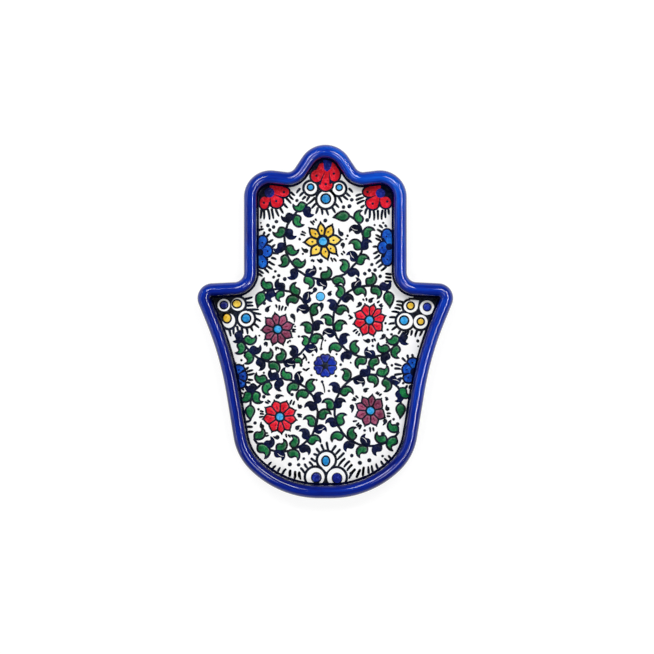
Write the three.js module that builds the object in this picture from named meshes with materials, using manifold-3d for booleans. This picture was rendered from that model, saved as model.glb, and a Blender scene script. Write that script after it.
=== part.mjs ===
// Hamsa trinket dish: a shallow hand-shaped dish of white clay with a rolled cobalt rim, a white
// floor and a raised enamel pattern of wreathed flowers, eyes and half flowers along the edge.
//
// Frame: millimetres, +Z up, fingers towards +Y, origin on the table under the dish's middle.

import * as THREE from 'three';
import { mergeVertices } from 'three/addons/utils/BufferGeometryUtils.js';
import Module from 'manifold-3d';

const wasm = await Module();
wasm.setup();

// Outline of the hand, measured between the corners before they are rounded
const handLength = 165;
const fingertipWidth = 13.9;
const fingerGapSpan = 31.2;
const fingersWidth = 76;
const thumbSpan = 125.8;
const palmWidth = 98.2;
const heelWidth = 82.8;
const wristWidth = 43.6;

// Place of each corner along the hand, as a share of half its length
const fingerGapShare = 0.842;
const shoulderShare = 0.875;
const thumbRootShare = 0.2255;
const thumbTipShare = 0.211;
const flankShare = -0.196;
const heelShare = -0.762;

// Rounding of each corner
const fingertipRound = 13;
const fingerGapRound = 4;
const shoulderRound = 12.5;
const thumbRootRound = 4.5;
const thumbTipRound = 7;
const flankRound = 150;
const heelRound = 27;
const wristRound = 46;
const leastRound = 0.8;

// Section through the rim, inwards from the widest line
const dishHeight = 18;
const footHeight = 2.2;
const baseThickness = 3.3;
const glazeThickness = 0.35;
const widestHeight = 14;
const undersideInset = 5;
const outerRollWidth = 3.3;
const innerRollWidth = 3;
const innerRollDrop = 3.4;
const wallFootInset = 7.2;
const floorRound = 0.8;
const flankSwell = 1.5;
const flankShares = [0, 0.36, 0.76];
const rollSteps = 2;

// Foot ring under the palm and the fingers
const footMargin = 11.5;
const footRingWidth = 4;
const footRound = 9;
const baseGlazeThickness = 0.3;

// Enamel layers and the clearance between neighbouring pieces of enamel
const enamelLayer = 0.15;
const enamelGap = 0.3;
const enamelEdge = 0.1;

// Wreaths: a thin stem round each flower, with leaves on both sides as shares of its radius
const stemWidth = 0.9;
const greenLeafShare = 0.36;
const navyLeafShare = 0.325;
const endLeafShare = 0.465;
const leafWidthShare = 0.5;
const leafFullness = 1.08;
const leafTaperShare = 0.3;
const leafBellyPower = 0.6;
const leafBendShares = [0.75, 0.5];
const leafStationShares = [0.24, 0.66];
const stemStepAngle = 15;

// Flowers inside the wreaths, as shares of the petals' reach from the middle
const valleyShare = 0.68;
const shoulderReachShare = 0.8;
const shoulderTurnShare = 0.62;
const petalWidestShare = 0.65;
const petalWidestWidthShare = 0.92;
const petalOuterShare = 0.8;
const petalOuterWidthShare = 0.38;
const enamelLine = 0.6;
const heartRadius = 1.9;
const heartSteps = 12;

// Blue flower in the middle of the palm
const blueFlowerReach = 5.7;
const blueFlowerPetals = 6;
const blueFlowerNotchShare = 0.86;
const blueFlowerValleyShare = 0.8;
const blueFlowerHeartRadius = 1.5;
const spotRadius = 1.9;
const middleFlowersShares = { flower: [0, -0.2497], spot: [-0.0567, 0.1418] };

// Blue half flowers cut off by the floor's edge, as shares of half the floor's width there
const fingerHalfFlowerShares = { reach: 0.255, overhang: 0.083 };
const palmHalfFlowerShares = { reach: 0.119, overhang: 0.028 };
const halfFlowerPetals = 9;
const halfFlowerValleyShare = 0.74;

// Red flowers at the fingertips, as shares of half the hand's length
const redLobeShare = 0.0374;
const redLobeReachShare = 0.0679;
const redHeartShare = 0.0255;
const redMiddleShare = 0.034;
const middleRedMarginShare = 0.0303;
const sideRedMarginShare = 0.0485;
const redLobeSteps = 12;

// Eyes: a dark band round a bare white ring with a coloured iris in it, as shares of half the length
const eyeBand = 0.6;
const eyeSteps = 12;
const smallEyeShare = 0.0339;
const middleEyeShare = 0.04;
const largeEyeShare = 0.0436;
const wristEyeShare = 0.0497;
const smallIrisShare = 0.0218;
const largeIrisShare = 0.0279;
const eyeFillShare = 0.0291;
const eyeGroupReachShare = 0.0521;
const thumbEyesMarginShare = 0.0764;
const thumbEyesDropShare = 0.0655;
const wristEyesMarginShare = 0.0612;
const fingerEyesShare = 0.455;
const fingerEyesDropShare = 0.1236;
const middleEyeDropShare = 0.1842;

// Heights and half sizes that follow from the sizes above
const halfLength = handLength / 2;
const clayFloor = footHeight + baseThickness;
const floorHeight = clayFloor + glazeThickness;
const floorInset = wallFootInset + floorRound;
const degree = Math.PI / 180;

// Each corner of the right half from the wrist to the fingertip, counter-clockwise
const handCorners = mirrored([
  { x: wristWidth / 2, y: -halfLength, round: wristRound, steps: 5 },
  { x: heelWidth / 2, y: heelShare * halfLength, round: heelRound, steps: 5 },
  { x: palmWidth / 2, y: flankShare * halfLength, round: flankRound, steps: 2 },
  { x: thumbSpan / 2, y: thumbTipShare * halfLength, round: thumbTipRound, steps: 4 },
  { x: fingersWidth / 2, y: thumbRootShare * halfLength, round: thumbRootRound, steps: 2 },
  { x: fingersWidth / 2, y: shoulderShare * halfLength, round: shoulderRound, steps: 4 },
  { x: fingerGapSpan / 2, y: fingerGapShare * halfLength, round: fingerGapRound, steps: 2 },
  { x: fingertipWidth / 2, y: halfLength, round: fingertipRound, steps: 3 },
]);

// The foot follows the hand one margin inside it, without the finger gaps
const footCorners = mirrored([
  { x: wristWidth / 2 - footMargin / 2, y: footMargin - halfLength, steps: 2 },
  { x: heelWidth / 2 - footMargin, y: heelShare * halfLength + footMargin / 2, steps: 2 },
  { x: palmWidth / 2 - footMargin, y: flankShare * halfLength, steps: 1 },
  { x: thumbSpan / 2 - 2 * footMargin, y: thumbTipShare * halfLength - footMargin, steps: 2 },
  { x: fingersWidth / 2 - footMargin, y: thumbRootShare * halfLength, steps: 1 },
  { x: fingersWidth / 2 - footMargin, y: shoulderShare * halfLength - footMargin, steps: 3 },
].map((corner) => ({ ...corner, round: footRound })));

function mirrored(rightCorners) {
  const leftCorners = rightCorners.map((corner) => ({ ...corner, x: -corner.x })).reverse();
  return [...rightCorners, ...leftCorners];
}

// Rounded outline a given distance inside the corners, with the same count of points at any inset
function roundedOutline(corners, inset) {
  const count = corners.length;
  const ways = corners.map((corner, i) => {
    const next = corners[(i + 1) % count];
    return new THREE.Vector2(next.x - corner.x, next.y - corner.y).normalize();
  });
  const inward = ways.map((way) => new THREE.Vector2(-way.y, way.x));
  const places = corners.map((corner, i) => {
    const before = inward[(i + count - 1) % count];
    const after = inward[i];
    const shift = before.clone().add(after).multiplyScalar(inset / (1 + before.dot(after)));
    return new THREE.Vector2(corner.x, corner.y).add(shift);
  });
  const turns = ways.map((way, i) => {
    const before = ways[(i + count - 1) % count];
    return Math.atan2(before.cross(way), before.dot(way));
  });
  const tangents = corners.map((corner, i) => {
    const round = turns[i] > 0 ? Math.max(corner.round - inset, leastRound) : corner.round + inset;
    return round * Math.tan(Math.abs(turns[i]) / 2);
  });
  const lengths = places.map((place, i) => place.distanceTo(places[(i + 1) % count]));
  const eased = tangents.map((tangent, i) => {
    const last = (i + count - 1) % count;
    const next = (i + 1) % count;
    const roomBefore = lengths[last] / (tangents[last] + tangent);
    const roomAfter = lengths[i] / (tangent + tangents[next]);
    return tangent * Math.min(1, roomBefore, roomAfter);
  });
  return corners.flatMap((corner, i) => {
    const before = (i + count - 1) % count;
    const radius = eased[i] / Math.tan(Math.abs(turns[i]) / 2);
    const start = places[i].clone().addScaledVector(ways[before], -eased[i]);
    const centre = start.clone().addScaledVector(inward[before], radius * Math.sign(turns[i]));
    const points = [];
    for (let step = 0; step <= corner.steps; step += 1) {
      points.push(start.clone().rotateAround(centre, (turns[i] * step) / corner.steps));
    }
    return points;
  });
}

// Section of the glazed surface as (inset, height): up the flank, over the roll, down to the floor
function glazedSection() {
  const flankHeight = widestHeight - footHeight;
  const points = flankShares.map((share) => new THREE.Vector2(
    undersideInset * (1 - share) ** flankSwell,
    footHeight + share * flankHeight,
  ));
  const crestHeight = dishHeight - widestHeight;
  for (let step = 0; step <= rollSteps; step += 1) {
    const angle = (90 * degree * step) / rollSteps;
    points.push(new THREE.Vector2(
      outerRollWidth * (1 - Math.cos(angle)),
      widestHeight + crestHeight * Math.sin(angle),
    ));
  }
  for (let step = 1; step <= rollSteps; step += 1) {
    const angle = (90 * degree * step) / rollSteps;
    points.push(new THREE.Vector2(
      outerRollWidth + innerRollWidth * Math.sin(angle),
      dishHeight - innerRollDrop * (1 - Math.cos(angle)),
    ));
  }
  for (let step = 0; step <= rollSteps; step += 1) {
    const angle = (90 * degree * step) / rollSteps;
    points.push(new THREE.Vector2(
      floorInset - floorRound * Math.cos(angle),
      floorHeight + floorRound * (1 - Math.sin(angle)),
    ));
  }
  return points;
}

// The clay's section lies one glaze thickness behind the glazed surface
function claySection(surface, seam) {
  const last = surface.length - 1;
  return surface.map((point, i) => {
    if (i === 0) {
      return new THREE.Vector2(point.x + glazeThickness, point.y);
    }
    if (i === seam) {
      return new THREE.Vector2(point.x - glazeThickness, point.y);
    }
    if (i === last) {
      return new THREE.Vector2(point.x, point.y - glazeThickness);
    }
    const along = surface[i + 1].clone().sub(surface[i - 1]).normalize();
    return new THREE.Vector2(along.y, -along.x).multiplyScalar(glazeThickness).add(point);
  });
}

// Rings of points that follow the hand's outline at each point of a section
function ringsOf(section) {
  return section.map((point) => roundedOutline(handCorners, point.x)
    .map((place) => new THREE.Vector3(place.x, place.y, point.y)));
}

// Closed surface through rings of equal count, either capped at both ends or joined end to end
function loft(rings, capped) {
  const count = rings[0].length;
  const positions = rings.flat().flatMap((point) => [point.x, point.y, point.z]);
  const index = [];
  const bands = capped ? rings.length - 1 : rings.length;
  for (let band = 0; band < bands; band += 1) {
    const low = band * count;
    const high = ((band + 1) % rings.length) * count;
    for (let i = 0; i < count; i += 1) {
      const next = (i + 1) % count;
      index.push(low + i, low + next, high + next);
      index.push(low + i, high + next, high + i);
    }
  }
  if (capped) {
    const top = (rings.length - 1) * count;
    capTriangles(rings[0]).forEach(([a, b, c]) => index.push(a, c, b));
    capTriangles(rings.at(-1)).forEach(([a, b, c]) => index.push(top + a, top + b, top + c));
  }
  const geometry = new THREE.BufferGeometry();
  geometry.setAttribute('position', new THREE.Float32BufferAttribute(positions, 3));
  geometry.setIndex(index);
  return geometry;
}

function capTriangles(ring) {
  return THREE.ShapeUtils.triangulateShape(ring.map((point) => new THREE.Vector2(point.x, point.y)), []);
}

// Plate with an outline and holes, standing on z = 0
function plate(outline, thickness, holes = []) {
  const shape = new THREE.Shape(outline);
  shape.holes = holes.map((hole) => new THREE.Path(hole));
  return new THREE.ExtrudeGeometry(shape, { depth: thickness, bevelEnabled: false });
}

function polar(radius, angle) {
  return new THREE.Vector2(radius * Math.cos(angle * degree), radius * Math.sin(angle * degree));
}

function circle(radius, steps, centre = new THREE.Vector2()) {
  return Array.from({ length: steps }, (_, i) => polar(radius, (360 * i) / steps).add(centre));
}

function disc(radius, steps, thickness, centre) {
  return plate(circle(radius, steps, centre), thickness);
}

// Solids for joining and cutting, and back to a geometry
function solidOf(geometry) {
  const bare = geometry.clone();
  bare.deleteAttribute('normal');
  bare.deleteAttribute('uv');
  const merged = mergeVertices(bare);
  return new wasm.Manifold(new wasm.Mesh({
    numProp: 3,
    vertProperties: new Float32Array(merged.attributes.position.array),
    triVerts: new Uint32Array(merged.index.array),
  }));
}

function geometryOf(solid) {
  const mesh = solid.getMesh();
  const geometry = new THREE.BufferGeometry();
  geometry.setAttribute('position', new THREE.BufferAttribute(mesh.vertProperties, 3));
  geometry.setIndex(new THREE.BufferAttribute(mesh.triVerts, 1));
  return geometry;
}

function joined(geometries) {
  return geometries.map(solidOf).reduce((whole, piece) => whole.add(piece));
}

// Enamel near the edge stops where the floor starts to curve up
function keptOnFloor(solid, place) {
  const outline = roundedOutline(handCorners, floorInset + enamelEdge);
  const floorPlate = plate(outline, dishHeight).translate(-place.x, -place.y, -dishHeight / 2);
  return solid.intersect(solidOf(floorPlate));
}

// Curved leaf from its base at the origin to its tip on +X
function leafOutline(length, curl) {
  const [bendAt, bendBy] = leafBendShares;
  const spine = new THREE.QuadraticBezierCurve(
    new THREE.Vector2(0, 0),
    new THREE.Vector2(bendAt * length, -bendBy * curl * length),
    new THREE.Vector2(length, 0),
  );
  const sidePoint = (share, side) => {
    const belly = leafFullness * Math.sin(Math.PI * share ** leafBellyPower) * (1 - leafTaperShare * share);
    const along = spine.getTangent(share);
    const across = new THREE.Vector2(-along.y, along.x);
    return spine.getPoint(share).addScaledVector(across, (side * belly * leafWidthShare * length) / 2);
  };
  const right = leafStationShares.map((share) => sidePoint(share, -1));
  const left = leafStationShares.map((share) => sidePoint(share, 1)).reverse();
  return [new THREE.Vector2(0, 0), ...right, spine.getPoint(1), ...left];
}

// Wreath: stem arc with a leaf at each angle, leaning off the stem by the lean angle
function wreathSolid(wreath) {
  const { radius, turn, leaves } = wreath;
  const first = leaves[0][0];
  const last = leaves.at(-1)[0];
  const stemEnd = last + (turn * stemWidth) / radius / degree;
  const steps = Math.ceil(Math.abs(stemEnd - first) / stemStepAngle);
  const side = (offset) => Array.from({ length: steps + 1 }, (_, i) => (
    polar(radius + offset, first + ((stemEnd - first) * i) / steps)
  ));
  const band = [...side(stemWidth / 2), ...side(-stemWidth / 2).reverse()];
  const stem = plate(turn > 0 ? band : band.reverse(), 2 * enamelLayer);
  const blades = leaves.map(([angle, lean, lengthShare, size = 1]) => {
    const curl = -turn * Math.sign(lean);
    const base = polar(radius, angle);
    return plate(leafOutline(lengthShare * size * radius, curl), 2 * enamelLayer)
      .rotateZ((angle + turn * (90 - lean)) * degree)
      .translate(base.x, base.y, 0);
  });
  return joined([stem, ...blades]);
}

// Pointed star of a flower: a valley between each two petals and a shoulder beside each tip
function starOutline(reach, tips) {
  return tips.flatMap((tip, i) => {
    const next = tips[(i + 1) % tips.length] + (i + 1 === tips.length ? 360 : 0);
    const half = (next - tip) / 2;
    return [
      polar(reach, tip),
      polar(reach * shoulderReachShare, tip + half * shoulderTurnShare),
      polar(reach * valleyShare, tip + half),
      polar(reach * shoulderReachShare, next - half * shoulderTurnShare),
    ];
  });
}

// Openings of the outline, one over each petal
function petalOutlines(reach, tips) {
  return tips.map((tip, i) => {
    const before = tips[(i + tips.length - 1) % tips.length] - (i === 0 ? 360 : 0);
    const after = tips[(i + 1) % tips.length] + (i + 1 === tips.length ? 360 : 0);
    const half = Math.min(tip - before, after - tip) / 2;
    const pair = (middle, widthShare) => {
      const width = widthShare * (middle * Math.sin(half * degree) - enamelLine / 2);
      return [new THREE.Vector2(middle, -width), new THREE.Vector2(middle, width)];
    };
    const [innerRight, innerLeft] = pair(heartRadius + enamelGap + enamelLine, 1);
    const [widestRight, widestLeft] = pair(reach * petalWidestShare, petalWidestWidthShare);
    const [outerRight, outerLeft] = pair(reach * petalOuterShare, petalOuterWidthShare);
    return [innerRight, widestRight, outerRight, outerLeft, widestLeft, innerLeft]
      .map((point) => point.rotateAround(new THREE.Vector2(), tip * degree));
  });
}

// Round-lobed flower with a shallow notch in the end of each petal
function lobedOutline(reach, petals, notchShare, valleyReachShare) {
  const pitch = 360 / petals;
  return Array.from({ length: petals }, (_, i) => 90 + i * pitch).flatMap((angle) => [
    polar(reach * notchShare, angle),
    polar(reach, angle + pitch / 6),
    polar(reach, angle + pitch / 3),
    polar(reach * valleyReachShare, angle + pitch / 2),
    polar(reach, angle + (2 * pitch) / 3),
    polar(reach, angle + (5 * pitch) / 6),
  ]);
}

// Half the floor's width at a height along the hand
function floorHalfWidth(y) {
  return Math.max(...floorOutline.map((start, i) => {
    const end = floorOutline[(i + 1) % floorOutline.length];
    const along = (y - start.y) / (end.y - start.y);
    return along >= 0 && along <= 1 ? start.x + along * (end.x - start.x) : 0;
  }));
}

// A place on the floor as shares of half its width there and of half the hand's length
function placeOf([xShare, yShare]) {
  const y = yShare * halfLength;
  return new THREE.Vector2(xShare * floorHalfWidth(y), y);
}

// Distance from a place on the floor to the nearest point of its edge
function edgeDistance(place) {
  const point = new THREE.Vector3(place.x, place.y, 0);
  return Math.min(...floorOutline.map((start, i) => {
    const end = floorOutline[(i + 1) % floorOutline.length];
    const edge = new THREE.Line3(new THREE.Vector3(start.x, start.y, 0), new THREE.Vector3(end.x, end.y, 0));
    return edge.closestPointToPoint(point, true, new THREE.Vector3()).distanceTo(point);
  }));
}

// Colours, roughness and metalness of each finish
const finishes = {
  clay: { color: 0xe9e1d2, roughness: 0.85 },
  cobalt: { color: 0x0a2fc4, roughness: 0.12 },
  white: { color: 0xf8f8f6, roughness: 0.15 },
  green: { color: 0x148a3c, roughness: 0.3 },
  navy: { color: 0x07133f, roughness: 0.3 },
  red: { color: 0xe8142f, roughness: 0.3 },
  plum: { color: 0x8c3a5e, roughness: 0.3 },
  yellow: { color: 0xf0c040, roughness: 0.3 },
  turquoise: { color: 0x30a8e8, roughness: 0.3 },
  blue: { color: 0x1050c8, roughness: 0.3 },
};

function piece(name, geometry, finish) {
  const material = new THREE.MeshStandardMaterial({ ...finishes[finish], metalness: 0 });
  const mesh = new THREE.Mesh(geometry, material);
  mesh.name = name;
  return mesh;
}

const dish = new THREE.Group();
const floorOutline = roundedOutline(handCorners, floorInset);

// Clay body, foot ring and the glazes that coat it
const surface = glazedSection();
const seam = surface.length - 1 - rollSteps;
const clay = claySection(surface, seam);
const surfaceRings = ringsOf(surface);
const clayRings = ringsOf(clay);

const footOutline = roundedOutline(footCorners, 0);
const footOpening = roundedOutline(footCorners, footRingWidth);
const footRing = plate(footOutline, clayFloor - baseThickness / 2, [footOpening]);
const clayBody = solidOf(loft(clayRings, true)).add(solidOf(footRing));
dish.add(piece('clay_body', geometryOf(clayBody), 'clay'));

const rimRings = [...surfaceRings.slice(0, seam + 1), ...clayRings.slice(0, seam + 1).reverse()];
dish.add(piece('cobalt_rim_glaze', loft(rimRings, false), 'cobalt'));

const floorRings = [...clayRings.slice(seam).reverse(), ...surfaceRings.slice(seam)];
dish.add(piece('white_floor_glaze', loft(floorRings, true), 'white'));

const baseGlaze = piece(
  'white_base_glaze',
  plate(roundedOutline(footCorners, footRingWidth + enamelGap), baseGlazeThickness),
  'white',
);
baseGlaze.position.z = footHeight - baseGlazeThickness;
dish.add(baseGlaze);

// Wreaths with their flowers. A leaf has the angle of its base, its lean off the stem, its length share
// and an optional size factor. A wreath's radius is the least of its shares of the distance to the
// floor's edge, of half the floor's width there and of half the hand's length. A flower has its place
// and reach as shares of the wreath's radius, and the angle of each petal's tip.
const green = greenLeafShare;
const navy = navyLeafShare;
const end = endLeafShare;
const wreaths = [
  {
    name: 'top',
    placeShare: [-0.0233, 0.4606],
    edgeShare: 0.6687,
    acrossShare: 0.66,
    roomShare: 0.228,
    flower: {
      placeShare: [-0.022, -0.022],
      reachShare: 0.511,
      tips: [4.8, 60.8, 97.5, 136, 183, 230, 284.6, 316.4],
      finish: 'yellow',
    },
    turn: 1,
    leaves: [
      [115, 16, green], [119, -95, navy], [140, 34, navy], [138, -72, green], [162, 45, green],
      [163, -59, navy], [184, 55, navy], [189, -58, green], [200, 45, green], [214, -57, green],
      [225, 75, navy], [242, -65, navy], [242, 38, green], [266, -56, green], [260, 38, navy],
      [281, 30, green], [303, -69, green], [306, 47, navy], [324, 27, green], [328, -79, navy],
      [347, -70, green], [346, 26, navy], [363, 48, green], [374, -69, navy], [384, 23, green],
      [401, -44, end],
    ],
  },
  {
    name: 'left',
    placeShare: [-0.4938, -0.0242],
    edgeShare: 0.8895,
    acrossShare: 0.372,
    roomShare: 0.213,
    flower: {
      placeShare: [0.041, -0.093],
      reachShare: 0.471,
      tips: [17, 61.5, 99.8, 136.4, 183, 218.5, 252.1, 289, 330.7],
      finish: 'plum',
    },
    turn: 1,
    leaves: [
      [188, 28, navy], [203, -75, green], [204, 44, green], [222, -60, navy], [221, 45, green],
      [245, -62, green], [241, 46, navy], [272, -66, green], [258, 33, green], [281, 32, navy],
      [300, -74, navy], [299, 70, green, 0.7], [321, 56, navy], [325, -50, green, 0.8], [334, 44, green],
      [348, -56, green], [353, 41, navy], [375, 43, green], [385, -62, navy], [397, 60, navy],
      [413, 33, green], [411, -65, green], [437, 38, navy], [439, -75, green, 0.85], [455, -68, navy],
      [455, 46, green], [470, -47, end],
    ],
  },
  {
    name: 'right',
    placeShare: [0.4316, 0],
    edgeShare: 0.8688,
    acrossShare: 0.364,
    roomShare: 0.208,
    flower: {
      placeShare: [0.018, 0.042],
      reachShare: 0.482,
      tips: [14.5, 43.8, 74.3, 106, 154.5, 193.9, 246, 284.2, 319.4],
      finish: 'red',
    },
    turn: -1,
    leaves: [
      [-18, 31, navy], [-28, -55, green], [-39, 37, green], [-53, -57, green], [-58, 43, navy],
      [-76, 52, green], [-80, -50, navy], [-93, 43, green], [-112, -68, green], [-118, 60, navy],
      [-137, 65, green], [-140, -69, navy], [-159, 62, navy], [-165, -66, green], [-174, 43, green],
      [-196, -67, green], [-197, 41, navy], [-219, -50, navy], [-219, 52, green], [-243, 35, navy],
      [-243, -45, green], [-266, 52, green], [-274, -51, green], [-286, 30, navy], [-301, -48, end],
    ],
  },
  {
    name: 'lower_left',
    placeShare: [-0.5681, -0.5309],
    edgeShare: 1.1014,
    acrossShare: 0.474,
    roomShare: 0.2075,
    flower: {
      placeShare: [-0.035, -0.047],
      reachShare: 0.491,
      tips: [21.9, 66.4, 108.7, 148, 187.8, 242.4, 276.2, 306.2, 349],
      finish: 'red',
    },
    turn: 1,
    leaves: [
      [222, -95, green], [230, 14, green, 1.2], [243, -75, navy], [259, 28, navy], [262, -55, green],
      [279, 38, green], [290, -71, green], [299, 55, navy], [314, 38, green], [318, -77, navy],
      [334, 53, navy], [342, -67, green], [355, 58, green], [370, -62, navy], [378, 43, navy],
      [397, 46, green], [399, -75, green], [418, 51, navy], [420, -68, green], [433, 33, green],
      [450, -78, navy], [453, 38, navy], [471, 45, green], [470, -64, green], [490, 40, navy],
      [498, -70, green], [502, 22, green], [521, -12, end],
    ],
  },
  {
    name: 'lower_right',
    placeShare: [0.5731, -0.503],
    edgeShare: 1.0835,
    acrossShare: 0.462,
    roomShare: 0.204,
    flower: {
      placeShare: [0.012, -0.018],
      reachShare: 0.47,
      tips: [48.4, 83.9, 120.7, 154.8, 201, 249.7, 291.4, 334.7],
      finish: 'plum',
    },
    turn: -1,
    leaves: [
      [-38, -98, green], [-45, 23, green, 1.1], [-61, -59, green], [-72, 35, navy], [-92, -58, navy],
      [-94, 48, green], [-116, 60, navy], [-120, -64, green], [-136, 63, green], [-153, -51, green],
      [-155, 44, navy], [-181, 51, green], [-184, -47, navy], [-209, -55, green], [-209, 70, navy],
      [-231, 68, green], [-241, -54, navy], [-253, 25, navy], [-266, -57, green], [-279, 39, green],
      [-300, 26, navy], [-294, -58, green], [-322, 16, green], [-325, -44, navy], [-346, -11, end],
    ],
  },
];

for (const wreath of wreaths) {
  const { name, edgeShare, acrossShare, roomShare, flower } = wreath;
  const place = placeOf(wreath.placeShare);
  const radius = Math.min(
    edgeShare * edgeDistance(place),
    acrossShare * floorHalfWidth(place.y),
    roomShare * halfLength,
  );
  const wreathed = keptOnFloor(wreathSolid({ ...wreath, radius }), place);
  const vine = piece(`vine_${name}`, geometryOf(wreathed), 'green');

  const reach = flower.reachShare * radius;
  const star = starOutline(reach, flower.tips);
  const openings = [...petalOutlines(reach, flower.tips), circle(heartRadius + enamelGap, heartSteps)];
  const petals = piece(`flower_${name}_petals`, plate(star, enamelLayer), flower.finish);
  const outline = piece(`flower_${name}_outline`, plate(star, enamelLayer, openings), 'navy');
  const heart = piece(`flower_${name}_heart`, disc(heartRadius, heartSteps, enamelLayer), 'turquoise');
  outline.position.z = enamelLayer;
  heart.position.z = enamelLayer;
  const bloom = new THREE.Group();
  bloom.position.set(flower.placeShare[0] * radius, flower.placeShare[1] * radius, 0);
  bloom.add(petals, outline, heart);

  const medallion = new THREE.Group();
  medallion.position.set(place.x, place.y, floorHeight);
  medallion.add(vine, bloom);
  dish.add(medallion);
}

// Blue flower and turquoise spot between the wreaths
const blueFlower = new THREE.Group();
const blueFlowerPlace = placeOf(middleFlowersShares.flower);
const bluePetals = lobedOutline(
  blueFlowerReach, blueFlowerPetals, blueFlowerNotchShare, blueFlowerValleyShare,
);
const blueHeart = piece('blue_flower_heart', disc(blueFlowerHeartRadius, heartSteps, enamelLayer), 'navy');
blueHeart.position.z = enamelLayer;
blueFlower.position.set(blueFlowerPlace.x, blueFlowerPlace.y, floorHeight);
blueFlower.add(piece('blue_flower_petals', plate(bluePetals, enamelLayer), 'blue'), blueHeart);
dish.add(blueFlower);

const spotPlace = placeOf(middleFlowersShares.spot);
const spot = piece('turquoise_spot', disc(spotRadius, heartSteps, enamelLayer), 'turquoise');
spot.position.set(spotPlace.x, spotPlace.y, floorHeight);
dish.add(spot);

// Half flowers: their middles sit just past the floor's edge
const halfFlowers = [
  { name: 'finger_left', side: -1, heightShare: 0.3939, shares: fingerHalfFlowerShares },
  { name: 'finger_right', side: 1, heightShare: 0.4158, shares: fingerHalfFlowerShares },
  { name: 'palm_left', side: -1, heightShare: -0.3103, shares: palmHalfFlowerShares },
  { name: 'palm_right', side: 1, heightShare: -0.2776, shares: palmHalfFlowerShares },
];

for (const { name, side, heightShare, shares } of halfFlowers) {
  const y = heightShare * halfLength;
  const halfWidth = floorHalfWidth(y);
  const place = new THREE.Vector2(side * (1 + shares.overhang) * halfWidth, y);
  const reach = shares.reach * halfWidth;
  const lobes = lobedOutline(reach, halfFlowerPetals, 1, halfFlowerValleyShare);
  const solid = keptOnFloor(solidOf(plate(lobes, enamelLayer)), place);
  const mesh = piece(`half_flower_${name}`, geometryOf(solid), 'blue');
  mesh.position.set(place.x, place.y, floorHeight);
  dish.add(mesh);
}

// Red flowers at the ends of the fingers: round lobes with a blue heart laid over their meeting point.
// A lobe has its angle from the heart and its distance as a share of the lobes' reach.
const redLobeRadius = redLobeShare * halfLength;
const redLobeReach = redLobeReachShare * halfLength;
const redHeartRadius = redHeartShare * halfLength;
const sideRedMargin = sideRedMarginShare * halfLength;
const middleRedY = (1 - middleRedMarginShare) * halfLength - floorInset;
const fingersEdge = fingersWidth / 2 - floorInset;
const sideRedX = fingersEdge - sideRedMargin;
const sideRedY = shoulderShare * halfLength - floorInset - sideRedMargin;
const redFlowers = [
  {
    name: 'middle',
    place: new THREE.Vector2(0, middleRedY),
    lobeShares: [[220, 1], [270, 1.375], [320, 1]],
  },
  {
    name: 'left',
    place: new THREE.Vector2(-sideRedX, sideRedY),
    lobeShares: [[241, 0.91], [307, 0.95], [4, 1.04]],
  },
  {
    name: 'right',
    place: new THREE.Vector2(sideRedX, sideRedY),
    lobeShares: [[172, 0.99], [233, 1.02], [296, 0.85]],
  },
];

for (const { name, place, lobeShares } of redFlowers) {
  const lobes = lobeShares.map(([angle, reachShare]) => (
    disc(redLobeRadius, redLobeSteps, enamelLayer, polar(reachShare * redLobeReach, angle))
  ));
  const underHeart = disc(redMiddleShare * halfLength, redLobeSteps, enamelLayer);
  const petals = keptOnFloor(joined([underHeart, ...lobes]), place);
  const heartDisc = keptOnFloor(solidOf(disc(redHeartRadius, heartSteps, enamelLayer)), place);
  const heart = piece(`red_flower_${name}_heart`, geometryOf(heartDisc), 'blue');
  heart.position.z = enamelLayer;
  const group = new THREE.Group();
  group.position.set(place.x, place.y, floorHeight);
  group.add(piece(`red_flower_${name}_petals`, geometryOf(petals), 'red'), heart);
  dish.add(group);
}

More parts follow.
